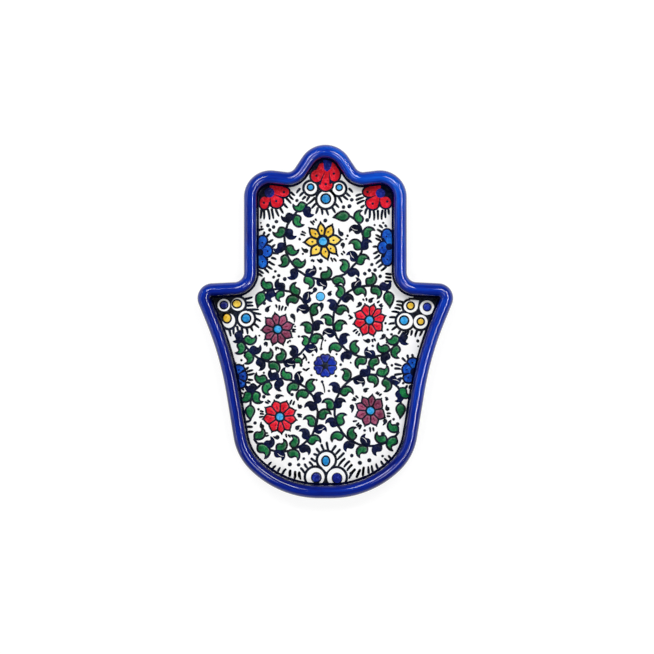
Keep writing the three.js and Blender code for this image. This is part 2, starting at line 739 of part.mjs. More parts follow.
// Groups of eyes: dark bands round bare white, with dark enamel between them, and one iris in each.
// An eye has its angle from the group's middle and its distance as a share of the group's reach.
const thumbEyesY = (thumbTipShare - thumbEyesDropShare) * halfLength - floorInset;
const thumbEyesX = floorHalfWidth(thumbEyesY) - thumbEyesMarginShare * halfLength;
const wristEyesY = floorInset - (1 - wristEyesMarginShare) * halfLength;
const fingerEyesX = fingerEyesShare * (fingerGapSpan / 2);
const fingerEyesY = middleRedY - fingerEyesDropShare * halfLength;
const middleEyeY = middleRedY - middleEyeDropShare * halfLength;
const small = { radiusShare: smallEyeShare, irisShare: smallIrisShare };
const middle = { radiusShare: middleEyeShare, irisShare: smallIrisShare };
const large = { radiusShare: largeEyeShare, irisShare: largeIrisShare };
const wrist = { radiusShare: wristEyeShare, irisShare: largeIrisShare };
const eyeGroups = [
  {
    name: 'thumb_left',
    place: new THREE.Vector2(-thumbEyesX, thumbEyesY),
    filled: true,
    eyes: [
      { ...small, angle: 145, reachShare: 1.22, finish: 'blue' },
      { ...small, angle: 75, reachShare: 0.99, finish: 'yellow' },
      { ...small, angle: 219, reachShare: 1.01, finish: 'yellow' },
      { ...large, angle: 333, reachShare: 1.41, finish: 'turquoise' },
    ],
  },
  {
    name: 'thumb_right',
    place: new THREE.Vector2(thumbEyesX, thumbEyesY),
    filled: true,
    eyes: [
      { ...middle, angle: 125, reachShare: 1.02, finish: 'yellow' },
      { ...small, angle: 31, reachShare: 1.22, finish: 'blue' },
      { ...large, angle: 211, reachShare: 1.45, finish: 'turquoise' },
      { ...middle, angle: 301, reachShare: 1, finish: 'yellow' },
    ],
  },
  {
    name: 'wrist',
    place: new THREE.Vector2(0, wristEyesY),
    filled: true,
    eyes: [
      { ...large, angle: 90, reachShare: 0.98, finish: 'turquoise' },
      { ...wrist, angle: 212, reachShare: 1.35, finish: 'blue' },
      { ...wrist, angle: 328, reachShare: 1.35, finish: 'blue' },
    ],
  },
  {
    name: 'finger_left',
    place: new THREE.Vector2(-fingerEyesX, fingerEyesY),
    eyes: [{ ...small, angle: 0, reachShare: 0, finish: 'turquoise' }],
  },
  {
    name: 'finger_right',
    place: new THREE.Vector2(fingerEyesX, fingerEyesY),
    eyes: [{ ...small, angle: 0, reachShare: 0, finish: 'turquoise' }],
  },
  {
    name: 'finger_middle',
    place: new THREE.Vector2(0, middleEyeY),
    eyes: [{ ...middle, irisShare: largeIrisShare, angle: 0, reachShare: 0, finish: 'turquoise' }],
  },
];

for (const { name, place, filled, eyes } of eyeGroups) {
  const group = new THREE.Group();
  group.position.set(place.x, place.y, floorHeight);
  const groupReach = eyeGroupReachShare * halfLength;
  const centres = eyes.map((eye) => polar(eye.reachShare * groupReach, eye.angle));
  const discsOf = (extra) => eyes.map((eye, i) => (
    disc(eye.radiusShare * halfLength + extra, eyeSteps, 2 * enamelLayer, centres[i])
  ));
  const fills = filled ? [disc(eyeFillShare * halfLength, eyeSteps, 2 * enamelLayer)] : [];
  const bands = joined([...discsOf(eyeBand), ...fills]).subtract(joined(discsOf(0)));
  group.add(piece(`eye_bands_${name}`, geometryOf(keptOnFloor(bands, place)), 'navy'));
  eyes.forEach((eye, i) => {
    const iris = solidOf(disc(eye.irisShare * halfLength, heartSteps, 2 * enamelLayer, centres[i]));
    group.add(piece(`iris_${name}_${i + 1}`, geometryOf(keptOnFloor(iris, place)), eye.finish));
  });
  dish.add(group);
}

export default dish;
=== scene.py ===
# Hamsa trinket dish: looks. Lengths are in millimetres until a mesh is made, which is in metres.
# Places in the plan are measured from the middle of the dish's box.
import math

import bpy
import numpy as np
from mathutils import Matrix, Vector, noise
from mathutils.geometry import delaunay_2d_cdt


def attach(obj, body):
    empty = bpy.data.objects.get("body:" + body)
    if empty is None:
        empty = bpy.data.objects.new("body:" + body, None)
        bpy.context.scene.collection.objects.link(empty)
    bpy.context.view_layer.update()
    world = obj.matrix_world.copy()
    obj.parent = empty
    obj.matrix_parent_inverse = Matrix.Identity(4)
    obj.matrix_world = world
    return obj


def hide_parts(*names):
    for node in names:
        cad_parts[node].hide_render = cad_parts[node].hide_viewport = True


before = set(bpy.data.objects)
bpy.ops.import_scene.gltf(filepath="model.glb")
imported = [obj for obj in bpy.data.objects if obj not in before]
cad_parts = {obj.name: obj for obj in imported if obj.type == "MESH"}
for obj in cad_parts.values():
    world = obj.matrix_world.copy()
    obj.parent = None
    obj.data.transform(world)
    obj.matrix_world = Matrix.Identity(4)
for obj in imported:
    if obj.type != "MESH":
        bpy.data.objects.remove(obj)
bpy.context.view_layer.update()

MM = 0.001

# Outline of the hand: corners of the right half from the wrist to the fingertip, as
# (x, y, rounding, steps)
HALF_LENGTH = 82.5
LEAST_ROUND = 0.8
LEAST_MITRE = 0.3
RIGHT_CORNERS = [
    (21.8, -HALF_LENGTH, 46, 20),
    (41.4, -62.865, 27, 20),
    (49.1, -16.17, 150, 8),
    (62.9, 17.4075, 7, 16),
    (38, 18.60375, 4.5, 10),
    (38, 72.1875, 12.5, 16),
    (15.6, 69.465, 4, 10),
    (6.95, HALF_LENGTH, 13, 12),
]
FOOT_CORNERS = [
    (16.05, -71, 9, 10),
    (29.9, -57.115, 9, 10),
    (37.6, -16.17, 9, 6),
    (39.9, 5.9075, 9, 10),
    (26.5, 18.60375, 9, 6),
    (26.5, 60.6875, 9, 12),
]
RING_SPACING = 2.6

# Section of the dish: heights, and insets from the hand's widest line
DISH_HEIGHT = 18
WIDEST_HEIGHT = 14
FLOOR_HEIGHT = 5.85
CLAY_FLOOR = 5.5
FOOT_HEIGHT = 2.2
GLAZE = 0.35
UNDERSIDE_INSET = 5
OUTER_ROLL = 3.3
INNER_ROLL = 2.7
INNER_DROP = 3.4
FLOOR_INSET = 7
FLOOR_ROUND = 0.8
UNDER_WALL_INSET = FLOOR_INSET - FLOOR_ROUND - 0.1
RIM_END_INSET = 6.95
RIM_END_PROUD = 0.02
PATTERN_INSET = 6.85
FLANK_BOW = 1.5
FILLET_CROWDING = 0.6
FLANK_STEPS, OUTER_STEPS, INNER_STEPS, WALL_STEPS, FILLET_STEPS = 9, 10, 9, 6, 7

# Foot ring and the bare clay edge beside it, and the glaze inside the ring as (inset, drop)
FOOT_WIDTH = 4
FOOT_ROUND = 0.9
FOOT_DRAFT = 0.1
FOOT_SUNK = 1
FOOT_ROUND_STEPS = 5
CLAY_EDGE_WIDTH, CLAY_EDGE_RISE = 0.6, 0.12
BASE_GLAZE_PROUD = 0.02
BASE_GLAZE_EDGE = [(0.3, 0.0), (0.34, 0.12), (0.5, 0.22), (0.9, 0.28)]

# Hand-made unevenness as (size of the waves, how far they go)
CREST_WAVES = (26, 0.22)
RIM_END_WAVES = (3, 0.14)
BASE_GLAZE_WAVES = (5, 0.25)
STEM_WAVES = (9, 0.5)

# Cobalt glaze: how dark and how glossy it is, with changes as (amount, from, to) along the roll or
# down the wall, each 1 long. The darkening at the roll's outer and inner edges and down the wall is
# painted shade; at the wall's foot it is glaze pooling and painted shade together
FLANK_SHADE, FLANK_THINNING = 0.22, 0.04
ROLL_SHADE, ROLL_THINNEST, ROLL_POWER = 0.1, 0.9, 1.5
ROLL_OUTER_EDGE_SHADE = (0.14, 0, 0.2)
ROLL_INNER_EDGE_SHADE = (0.24, 0.66, 1)
WALL_SHADE, WALL_FOOT_POOL_AND_SHADE = 0.34, (0.5, 0.8, 1)
FLANK_GLOSS, WALL_GLOSS = 0.15, 0.04
CREST_SHINE = (0.25, 0, 0.15)
ROLL_END_DULLING = (0.36, 0.78, 0.92)

# Heights of the enamel over the floor, a little apart so that no two layers lie in one plane
BURIED = -0.12
FILL_BASE = 0.06
LINE_TOP = 0.1
STROKE_TOP = 0.12
BAND_TOP = 0.14
COMMA_TOP = 0.15
SLIT_LEAF_TOP = 0.16
FIELD_TOP = 0.2
DOT_TOP = 0.22
SECOND_FILL_TOP = 0.23
HEART_TOP = 0.24
FILL_TOP = 0.26
RING_TOP = 0.28
CREASE_TOP = 0.29
DROP_TOP = 0.31
IRIS_TOP = 0.32
VEIN_TOP = 0.33
EYE_TOP = 0.38
CUT_DOT_TOP = 0.16
CUT_DROP = 0.05

# Sections of a domed drop and of a domed stroke, and the round end of a flat one
DOME = ((1, 0), (0.9, 0.55), (0.72, 0.85), (0.4, 1))
STROKE_ACROSS = (-1, -0.55, 0, 0.55, 1)
STROKE_POWER = 2.4
STROKE_END = 0.4

# Points nearer than this are one to the triangulation
PLATE_MERGE, RING_MERGE = 1e-5, 1e-6
TINY = 1e-12

# Outer edge of a pit in the glaze, as a share of its size
SPECK_EDGE = 1.8

# Angles at which an edge of a mesh looks sharp
SHARP, RIM_SHARP, CLAY_SHARP = 35, 60, 50

# Slot of each material, which has the material's own name apart from these
OTHER_SLOTS = {
    "navy_leaf_enamel": "navy_enamel",
    "deep_blue_enamel": "blue_enamel",
    "base_glaze": "white_glaze",
}
SLOTS = {}


# Outlines


def mirrored(corners):
    return corners + [(-x, y, r, s) for x, y, r, s in reversed(corners)]


def left_of(way):
    return Vector((-way.y, way.x))


def rounded_outline(corners, inset):
    """Rounded outline a distance inside the corners, with the same count of points at any inset."""
    count = len(corners)
    at = [Vector((c[0], c[1])) for c in corners]
    ways = [(at[(i + 1) % count] - at[i]).normalized() for i in range(count)]
    inward = [left_of(way) for way in ways]
    turns = []
    places = []
    for i in range(count):
        before, after = inward[i - 1], inward[i]
        places.append(at[i] + (before + after) * (inset / (1 + before.dot(after))))
        cross = ways[i - 1].x * ways[i].y - ways[i - 1].y * ways[i].x
        turns.append(math.atan2(cross, ways[i - 1].dot(ways[i])))
    tangents = []
    for corner, turn in zip(corners, turns):
        radius = max(corner[2] - inset, LEAST_ROUND) if turn > 0 else corner[2] + inset
        tangents.append(radius * math.tan(abs(turn) / 2))
    lengths = [(places[(i + 1) % count] - places[i]).length for i in range(count)]
    points = []
    for i, corner in enumerate(corners):
        before = lengths[i - 1] / (tangents[i - 1] + tangents[i])
        after = lengths[i] / (tangents[i] + tangents[(i + 1) % count])
        eased = tangents[i] * min(1, before, after)
        radius = eased / math.tan(abs(turns[i]) / 2)
        start = places[i] - ways[i - 1] * eased
        centre = start + inward[i - 1] * radius * math.copysign(1, turns[i])
        arm = start - centre
        for step in range(corner[3] + 1):
            angle = turns[i] * step / corner[3]
            cos, sin = math.cos(angle), math.sin(angle)
            points.append(centre + Vector((arm.x * cos - arm.y * sin, arm.x * sin + arm.y * cos)))
    return points


HAND = mirrored(RIGHT_CORNERS)
FOOT = mirrored(FOOT_CORNERS)
WIDEST = rounded_outline(HAND, 0)
SPLITS = [
    max(1, round((WIDEST[(i + 1) % len(WIDEST)] - point).length / RING_SPACING))
    for i, point in enumerate(WIDEST)
]


def hand_ring(inset):
    """The hand's outline at an inset, with its long sides split evenly."""
    outline = rounded_outline(HAND, inset)
    ring = []
    for i, splits in enumerate(SPLITS):
        start, end = outline[i], outline[(i + 1) % len(outline)]
        ring += [start.lerp(end, k / splits) for k in range(splits)]
    return ring


EDGE = np.array([tuple(p) for p in hand_ring(0)])
FLOOR_EDGE = [tuple(p) for p in hand_ring(PATTERN_INSET)]


def insets(points):
    """Distance of each point from the hand's widest line."""
    place = np.asarray(points, dtype=float)[:, None, :2]
    start = EDGE[None]
    along = np.roll(EDGE, -1, axis=0)[None] - start
    share = ((place - start) * along).sum(2) / (along ** 2).sum(2)
    nearest = start + np.clip(share, 0, 1)[..., None] * along
    return np.sqrt(((place - nearest) ** 2).sum(2)).min(1)


def fillet_height(over):
    """Height of the glaze a distance past the flat floor, where it turns up into the wall."""
    return FLOOR_HEIGHT + FLOOR_ROUND - np.sqrt(FLOOR_ROUND ** 2 - over ** 2)


def floor_heights(points):
    return fillet_height(np.clip(FLOOR_INSET - insets(points), 0, FLOOR_ROUND))


def inside(outline):
    """Whether every point lies within the hand's widest line."""
    x0, y0 = EDGE[:, 0], EDGE[:, 1]
    x1, y1 = np.roll(x0, -1), np.roll(y0, -1)
    for p in outline:
        reached = (x1 - x0) * (p[1] - y0) / (y1 - y0 + TINY) + x0
        if (((y0 > p[1]) != (y1 > p[1])) & (p[0] < reached)).sum() % 2 == 0:
            return False
    return True


def near_edge(outline):
    """Whether an outline crosses the edge of the floor."""
    crossed = (insets([(p[0], p[1]) for p in outline]) < PATTERN_INSET).any()
    return bool(crossed) or not inside(outline)


def polar(radius, angle):
    angle = math.radians(angle)
    return Vector((radius * math.cos(angle), radius * math.sin(angle)))


def circle(radius, steps, centre=(0, 0)):
    return [Vector(centre) + polar(radius, 360 * i / steps) for i in range(steps)]


def turned(outline, angle, scale=1, centre=(0, 0)):
    """An outline turned, scaled and moved to a place."""
    cos, sin = math.cos(math.radians(angle)), math.sin(math.radians(angle))
    return [
        Vector((
            centre[0] + scale * (p[0] * cos - p[1] * sin),
            centre[1] + scale * (p[0] * sin + p[1] * cos),
        ))
        for p in outline
    ]


def oval(centre, wide, high=None, steps=28, tilt=0):
    outline = [Vector((wide * p.x, (high or wide) * p.y)) for p in circle(1, steps)]
    return turned(outline, tilt, 1, centre)


def drawn_in(outline, distance):
    """An outline moved inwards by a distance, for one that runs anticlockwise."""
    points = []
    for i, point in enumerate(outline):
        before = (point - outline[i - 1]).normalized()
        after = (outline[(i + 1) % len(outline)] - point).normalized()
        across = (left_of(before) + left_of(after)) / 2
        points.append(point + across * (distance / max(across.length_squared, LEAST_MITRE)))
    return points


def smoothed(outline, steps=2):
    """A closed curve through the points of an outline."""
    curve = []
    for i in range(len(outline)):
        a, b, c, d = (Vector(outline[(i + k - 1) % len(outline)]) for k in range(4))
        for t in (k / steps for k in range(steps)):
            curve.append(0.5 * (
                2 * b + (c - a) * t
                + (2 * a - 5 * b + 4 * c - d) * t * t + (3 * b - a - 3 * c + d) * t ** 3
            ))
    return curve


def bent(start, end, bend, steps):
    """Points of a shallow arc from start to end, bent to the left by a share of its length."""
    start, end = Vector(start), Vector(end)
    way = end - start
    across = left_of(way) * bend
    return [
        start + way * t + across * 4 * t * (1 - t)
        for t in (k / steps for k in range(steps + 1))
    ]


def stroke_outline(points, widths):
    """Outline of a brush stroke along points, with round ends."""
    points = [Vector(p) for p in points]
    right, left = [], []
    for i, point in enumerate(points):
        across = left_of(way_at(points, i)) * widths[i] / 2
        right.append(point - across)
        left.append(point + across)
    first = (points[1] - points[0]).normalized()
    last = (points[-1] - points[-2]).normalized()
    end = [(side[-1] + points[-1]) / 2 + last * widths[-1] * STROKE_END for side in (right, left)]
    start = [(side[0] + points[0]) / 2 - first * widths[0] * STROKE_END for side in (left, right)]
    return right + end + left[::-1] + start


def way_at(points, i):
    """Direction of a row of points at one of them."""
    return (points[min(i + 1, len(points) - 1)] - points[max(i - 1, 0)]).normalized()


def wobble(point, size, amount):
    """Smooth hand-made unevenness at a place."""
    return amount * noise.noise(Vector((point[0], point[1], 0)) / size)


def unsteady(places, waves):
    """Places moved sideways by hand-made unevenness."""
    return [
        (x + wobble((x, y), *waves), y + wobble((y, x), *waves), z) for x, y, z in places
    ]


def middle_of(outline):
    return sum((Vector(p) for p in outline), Vector((0, 0))) / len(outline)


# Meshes


def placed(name, data):
    """A new object in the scene."""
    item = bpy.data.objects.new(name, data)
    bpy.context.scene.collection.objects.link(item)
    return item


class Shape:
    """Closed shells collected into one mesh, with places in millimetres."""

    def __init__(self):
        self.points = []
        self.faces = []

    def add(self, points, faces):
        start = len(self.points)
        self.points += [tuple(p) for p in points]
        self.faces += [tuple(start + i for i in face) for face in faces]

    def drape(self, points, faces):
        """Adds a shell whose heights are given from the floor."""
        if points:
            lift = floor_heights(points)
            self.add([(x, y, z + up) for (x, y, z), up in zip(points, lift)], faces)

    def plate(self, adds, top, cuts=(), within=FLOOR_EDGE):
        """Adds a flat drop of enamel, cut off where the floor ends."""
        self.drape(*plate_shell(adds, top, cuts, within=within))

    def flat(self, outline, top=LINE_TOP, cuts=()):
        """Adds a flat drop over one outline."""
        self.plate([outline], top, cuts, FLOOR_EDGE if near_edge(outline) else None)

    def pillow(self, outline, top=FILL_TOP):
        """Adds a domed drop over one outline."""
        self.drape(*pillow_shell(outline, top))

    def fill(self, outline, top=FILL_TOP):
        """Adds a domed drop, or a flat one where the floor's edge cuts it."""
        if near_edge(outline):
            self.plate([outline], top - CUT_DROP)
        else:
            self.pillow(outline, top)

    def piece(self, name, material, node=None, slot=None, sharp=SHARP):
        """Makes the mesh a piece of the dish, which stands for a CAD node if one is named."""
        mesh = bpy.data.meshes.new(name)
        mesh.from_pydata([(x * MM, y * MM, z * MM) for x, y, z in self.points], [], self.faces)
        mesh.validate()
        mesh.materials.append(material)
        mesh.shade_smooth()
        mesh.set_sharp_from_angle(angle=math.radians(sharp))
        piece = placed(name, mesh)
        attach(piece, "root")
        if node:
            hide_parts(node)
        return piece


def loft_faces(count, rings, closed=True):
    """Quads between rings of equal count, joined end to end when closed."""
    faces = []
    for ring in range(rings if closed else rings - 1):
        low, high = ring * count, ((ring + 1) % rings) * count
        for i in range(count):
            after = (i + 1) % count
            faces.append((low + i, low + after, high + after, high + i))
    return faces


def planar(adds, cuts, within):
    """Triangles of the union of some outlines, less the cuts and inside the limit."""
    points, rings = [], []
    for outline in [*adds, *cuts, *([within] if within else [])]:
        ring = list(range(len(points), len(points) + len(outline)))
        sides = zip(outline, [*outline[1:], outline[0]])
        area = sum(p[0] * q[1] - q[0] * p[1] for p, q in sides)
        rings.append(ring if area > 0 else ring[::-1])
        points += [Vector((p[0], p[1])) for p in outline]
    places, _, faces, _, _, sources = delaunay_2d_cdt(points, [], rings, 0, PLATE_MERGE)
    cut_first = len(adds)
    limit = cut_first + len(cuts)
    kept = []
    for face, source in zip(faces, sources):
        added = any(i < cut_first for i in source)
        cut = any(cut_first <= i < limit for i in source)
        if added and not cut and (not within or limit in source):
            kept.append(face)
    return places, kept


def plate_shell(adds, top, cuts=(), bottom=BURIED, within=None):
    """A flat plate as points and faces, with heights from the floor."""
    places, faces = planar(adds, cuts, within)
    used = sorted({i for face in faces for i in face})
    row = {old: new for new, old in enumerate(used)}
    count = len(used)
    faces = [tuple(row[i] for i in face) for face in faces]
    edges = dict.fromkeys(edge for face in faces for edge in zip(face, face[1:] + face[:1]))
    walls = [(b, a, a + count, b + count) for a, b in edges if (b, a) not in edges]
    points = [(places[i].x, places[i].y, height) for height in (top, bottom) for i in used]
    lower = [tuple(i + count for i in reversed(face)) for face in faces]
    return points, faces + lower + walls


def pillow_shell(outline, top):
    """A domed drop of enamel over an outline that bulges round its middle."""
    count = len(outline)
    middle = middle_of(outline)
    points = [(p[0], p[1], BURIED) for p in outline]
    for share, rise in DOME:
        height = FILL_BASE + (top - FILL_BASE) * rise
        points += [(*(middle + (Vector(p) - middle) * share), height) for p in outline]
    faces = loft_faces(count, len(DOME) + 1, closed=False)
    low, high = len(points), len(points) + 1
    points += [(middle.x, middle.y, BURIED), (middle.x, middle.y, top)]
    last = count * len(DOME)
    for i in range(count):
        after = (i + 1) % count
        faces.append((after, i, low))
        faces.append((last + i, last + after, high))
    return points, faces


def strip_shell(spine, halves, top):
    """A domed brush mark along a spine, with half its width at each point."""
    width = len(STROKE_ACROSS)
    row = 2 * width
    points, faces = [], []
    for i, (place, half) in enumerate(zip(spine, halves)):
        side = left_of(way_at(spine, i))
        spots = [place + side * share * half for share in STROKE_ACROSS]
        for spot, share in zip(spots, STROKE_ACROSS):
            rise = 1 - abs(share) ** STROKE_POWER
            points.append((spot.x, spot.y, FILL_BASE + (top - FILL_BASE) * rise))
        points += [(spot.x, spot.y, BURIED) for spot in spots]
    last = width - 1
    for a in range(0, (len(spine) - 1) * row, row):
        b = a + row
        for k in range(last):
            faces.append((a + k, b + k, b + k + 1, a + k + 1))
            faces.append((a + width + k + 1, b + width + k + 1, b + width + k, a + width + k))
        faces.append((a, a + width, b + width, b))
        faces.append((b + last, b + width + last, a + width + last, a + last))
    loop = [*range(width), *range(row - 1, last, -1)]
    faces.append(tuple(loop))
    end = (len(spine) - 1) * row
    faces.append(tuple(end + i for i in [*range(last, -1, -1), *range(width, row)]))
    return points, faces


# Materials


def linear(code):
    values = [int(code[i:i + 2], 16) / 255 for i in (0, 2, 4)]
    return [v / 12.92 if v <= 0.04045 else ((v + 0.055) / 1.055) ** 2.4 for v in values] + [1]


class Finish:
    """A material with one Principled shader and helpers that wire nodes into it."""

    def __init__(self, name, roughness, specular):
        self.material = bpy.data.materials.new(name)
        self.material.use_nodes = True
        SLOTS[self.material] = OTHER_SLOTS.get(name, name)
        self.tree = self.material.node_tree
        self.shader = self.tree.nodes["Principled BSDF"]
        self.shader.inputs["Roughness"].default_value = roughness
        self.shader.inputs["Specular IOR Level"].default_value = specular
        self.place = self.node("ShaderNodeTexCoord").outputs["Object"]

    def node(self, kind, **values):
        node = self.tree.nodes.new(kind)
        for key, value in values.items():
            setattr(node, key, value)
        return node

    def put(self, target, value):
        """Sets a socket to a colour code or a number, or links a source to it."""
        if isinstance(value, bpy.types.NodeSocket):
            self.tree.links.new(value, target)
        else:
            target.default_value = linear(value) if isinstance(value, str) else value

    def shade(self, **sources):
        """Links sources to the shader's sockets, named with _ for a space."""
        for name, source in sources.items():
            self.put(self.shader.inputs[name.replace("_", " ")], source)

    def attribute(self, name, output):
        node = self.node("ShaderNodeAttribute", attribute_type="GEOMETRY", attribute_name=name)
        return node.outputs[output]

    def axis(self, name):
        split = self.node("ShaderNodeSeparateXYZ")
        self.put(split.inputs["Vector"], self.place)
        return split.outputs[name]

    def stretched(self, source, scale):
        mapping = self.node("ShaderNodeMapping")
        mapping.inputs["Scale"].default_value = scale
        self.put(mapping.inputs["Vector"], source)
        return mapping.outputs["Vector"]

    def noise(self, scale, detail=3.0, roughness=0.5, vector=None, distortion=0.0):
        node = self.node("ShaderNodeTexNoise")
        for socket, value in (
            ("Scale", scale), ("Detail", detail), ("Roughness", roughness),
            ("Distortion", distortion), ("Vector", vector or self.place),
        ):
            self.put(node.inputs[socket], value)
        return node.outputs["Fac"]

    def specks(self, scale, size):
        """One where a small round pit lies, zero elsewhere, with a soft edge."""
        node = self.node("ShaderNodeTexVoronoi", feature="F1")
        node.inputs["Scale"].default_value = scale
        self.put(node.inputs["Vector"], self.place)
        return self.ramp(node.outputs["Distance"], [(0, 1), (size, 1), (size * SPECK_EDGE, 0)])

    def ramp(self, source, stops):
        """Stops are (place, colour code or number)."""
        node = self.node("ShaderNodeValToRGB")
        band = node.color_ramp
        while len(band.elements) < len(stops):
            band.elements.new(0.5)
        for element, (place, value) in zip(band.elements, stops):
            element.position = place
            element.color = linear(value) if isinstance(value, str) else (value, value, value, 1)
        self.put(node.inputs["Fac"], source)
        return node.outputs["Color"]

    def math(self, operation, a, b):
        node = self.node("ShaderNodeMath", operation=operation)
        self.put(node.inputs[0], a)
        self.put(node.inputs[1], b)
        return node.outputs["Value"]

    def weighed(self, *parts):
        """The sum of some sources, each times its weight."""
        products = [self.math("MULTIPLY", source, weight) for source, weight in parts]
        total = products[0]
        for product in products[1:]:
            total = self.math("ADD", total, product)
        return total

    def mix(self, share, a, b):
        node = self.node("ShaderNodeMix", data_type="RGBA")
        for socket, value in (("Factor", share), ("A", a), ("B", b)):
            self.put(node.inputs[socket], value)
        return node.outputs["Result"]

    def bump(self, height, distance, strength=1.0, before=None):
        node = self.node("ShaderNodeBump")
        node.inputs["Distance"].default_value = distance * MM
        node.inputs["Strength"].default_value = strength
        self.put(node.inputs["Height"], height)
        if before:
            self.put(node.inputs["Normal"], before)
        return node.outputs["Normal"]


def cobalt_finish():
    """Brushed cobalt glaze, its streaks round the hand, darker where it pools, with painted light
    and shade.
    """
    finish = Finish("cobalt_glaze", 0.06, 0.4)
    flow = finish.attribute("flow", "Vector")
    streaks = finish.noise(1.0, 4, 0.55, finish.stretched(flow, (0.05, 0.05, 1.5)), 0.4)
    clouds = finish.noise(1.0, 2, 0.5, finish.stretched(flow, (0.035, 0.035, 0.25)), 0.6)
    dabs = finish.noise(420, 2, 0.5)
    tone = finish.weighed(
        # Painted shade: the section's darkness (glaze pooling, and painted shade at the roll's
        # edges and on the wall) lowers the tone
        (streaks, 0.55), (clouds, 0.45), (dabs, 0.08), (finish.attribute("pool_and_shade", "Fac"), -1),
        # Painted light: the glaze is lighter towards the fingertips and towards the right, the
        # sides the lamps come from
        (finish.axis("Y"), 1.2), (finish.axis("X"), 1.4),
    )
    body = finish.ramp(tone, [
        (0.0, "000426"), (0.16, "000950"), (0.34, "001272"), (0.5, "002494"), (0.64, "0038b2"),
        (0.84, "0a60d8"),
    ])
    ripple = finish.noise(1.0, 2, 0.5, finish.stretched(flow, (0.06, 0.06, 0.5)))
    waves = finish.bump(ripple, 0.08)
    finish.shade(
        Base_Color=body,
        Specular_IOR_Level=finish.attribute("gloss", "Fac"),
        Roughness=finish.ramp(finish.noise(160, 3), [(0.3, 0.04), (0.7, 0.1)]),
        Normal=finish.bump(finish.specks(330, 0.06), 0.06, 0.6, waves),
    )
    return finish.material


def white_finish(name="white_glaze", roughness=0.12):
    """Tin-white glaze with faint warm clouds, pin holes and a rippled surface."""
    finish = Finish(name, roughness, 0.4)
    clouds = finish.noise(55, 3, 0.5)
    body = finish.ramp(clouds, [(0.3, "f6f6f5"), (0.55, "f9f9f9"), (0.75, "f4f6f8")])
    pits = finish.math("MULTIPLY", finish.specks(150, 0.035), 0.35)
    polish = [(0.3, roughness * 0.7), (0.7, roughness * 1.6)]
    ripple = finish.bump(finish.noise(90, 2, 0.4), 0.12)
    finish.shade(
        Base_Color=finish.mix(pits, body, "b9a88e"),
        Roughness=finish.ramp(finish.noise(90, 2), polish),
        Normal=finish.bump(finish.specks(150, 0.04), 0.08, 0.5, ripple),
    )
    return finish.material


def enamel_finish(name, dark, middle, light, roughness=0.22, specular=0.2):
    """Brushed enamel: the tone wanders from stroke to stroke and within one, over a faint grain."""
    finish = Finish(name, roughness, specular)
    between = finish.noise(130, 1, 0.4)
    within = finish.noise(700, 3, 0.55, None, 0.8)
    tone = finish.weighed((between, 0.55), (within, 0.45))
    finish.shade(
        Base_Color=finish.ramp(tone, [(0.36, dark), (0.5, middle), (0.62, light)]),
        Roughness=finish.ramp(within, [(0.3, roughness * 0.75), (0.7, roughness * 1.5)]),
        Normal=finish.bump(finish.noise(1500, 3, 0.6), 0.02, 0.7),
    )
    return finish.material


def clay_finish():
    """Bare fired clay: warm, matt and grainy, rubbed darker where it stands."""
    finish = Finish("clay", 0.82, 0.3)
    grain = finish.noise(1200, 4, 0.6)
    clouds = finish.noise(60, 3)
    tone = finish.weighed((grain, 0.45), (clouds, 0.55))
    body = finish.ramp(tone, [(0.35, "cfbfa4"), (0.5, "e2d5c0"), (0.65, "ece3d4")])
    rubbed_height = 0.8 * MM
    height = finish.math("MULTIPLY", finish.axis("Z"), 1 / rubbed_height)
    rubbed = finish.math("MULTIPLY", finish.ramp(height, [(0.0, 0.5), (1.0, 0.0)]), clouds)
    finish.shade(
        Base_Color=finish.mix(rubbed, body, "8d7a60"),
        Roughness=finish.ramp(grain, [(0.3, 0.72), (0.7, 0.9)]),
        Normal=finish.bump(finish.specks(420, 0.07), 0.12, 0.8, finish.bump(grain, 0.05)),
    )
    return finish.material


COBALT = cobalt_finish()
WHITE = white_finish()
BASE_WHITE = white_finish("base_glaze", 0.2)
CLAY = clay_finish()
INK = enamel_finish("navy_enamel", "01050e", "030c20", "06142e", 0.25, 0.15)
NAVY = enamel_finish("navy_leaf_enamel", "00061a", "010928", "041242", 0.25, 0.08)
GREEN = enamel_finish("green_enamel", "024c28", "046234", "1c8446")
RED = enamel_finish("red_enamel", "b00418", "d20622", "ea1634")
CRIMSON = enamel_finish("crimson_enamel", "3c0418", "5a0a26", "7c1436")
PLUM = enamel_finish("plum_enamel", "5c1e3a", "7e3452", "a65072")
YELLOW = enamel_finish("yellow_enamel", "d8a822", "f0c842", "f8da64")
TURQUOISE = enamel_finish("turquoise_enamel", "0c74b8", "1a92d6", "50b6ee")
BLUE = enamel_finish("blue_enamel", "042a86", "084cb8", "1072da")
RIM_BLUE = enamel_finish("deep_blue_enamel", "020a50", "04187e", "0830ac")


# Body and glazes


def quarter(steps):
    """Angles from nothing to a quarter turn, in radians."""
    return [math.radians(90 * step / steps) for step in range(steps + 1)]


def rise(value, start, end):
    """How far a value has come from start to end, from 0 to 1."""
    return max(0.0, min(1.0, (value - start) / (end - start)))


def change(value, amount, start, end):
    return amount * rise(value, start, end)


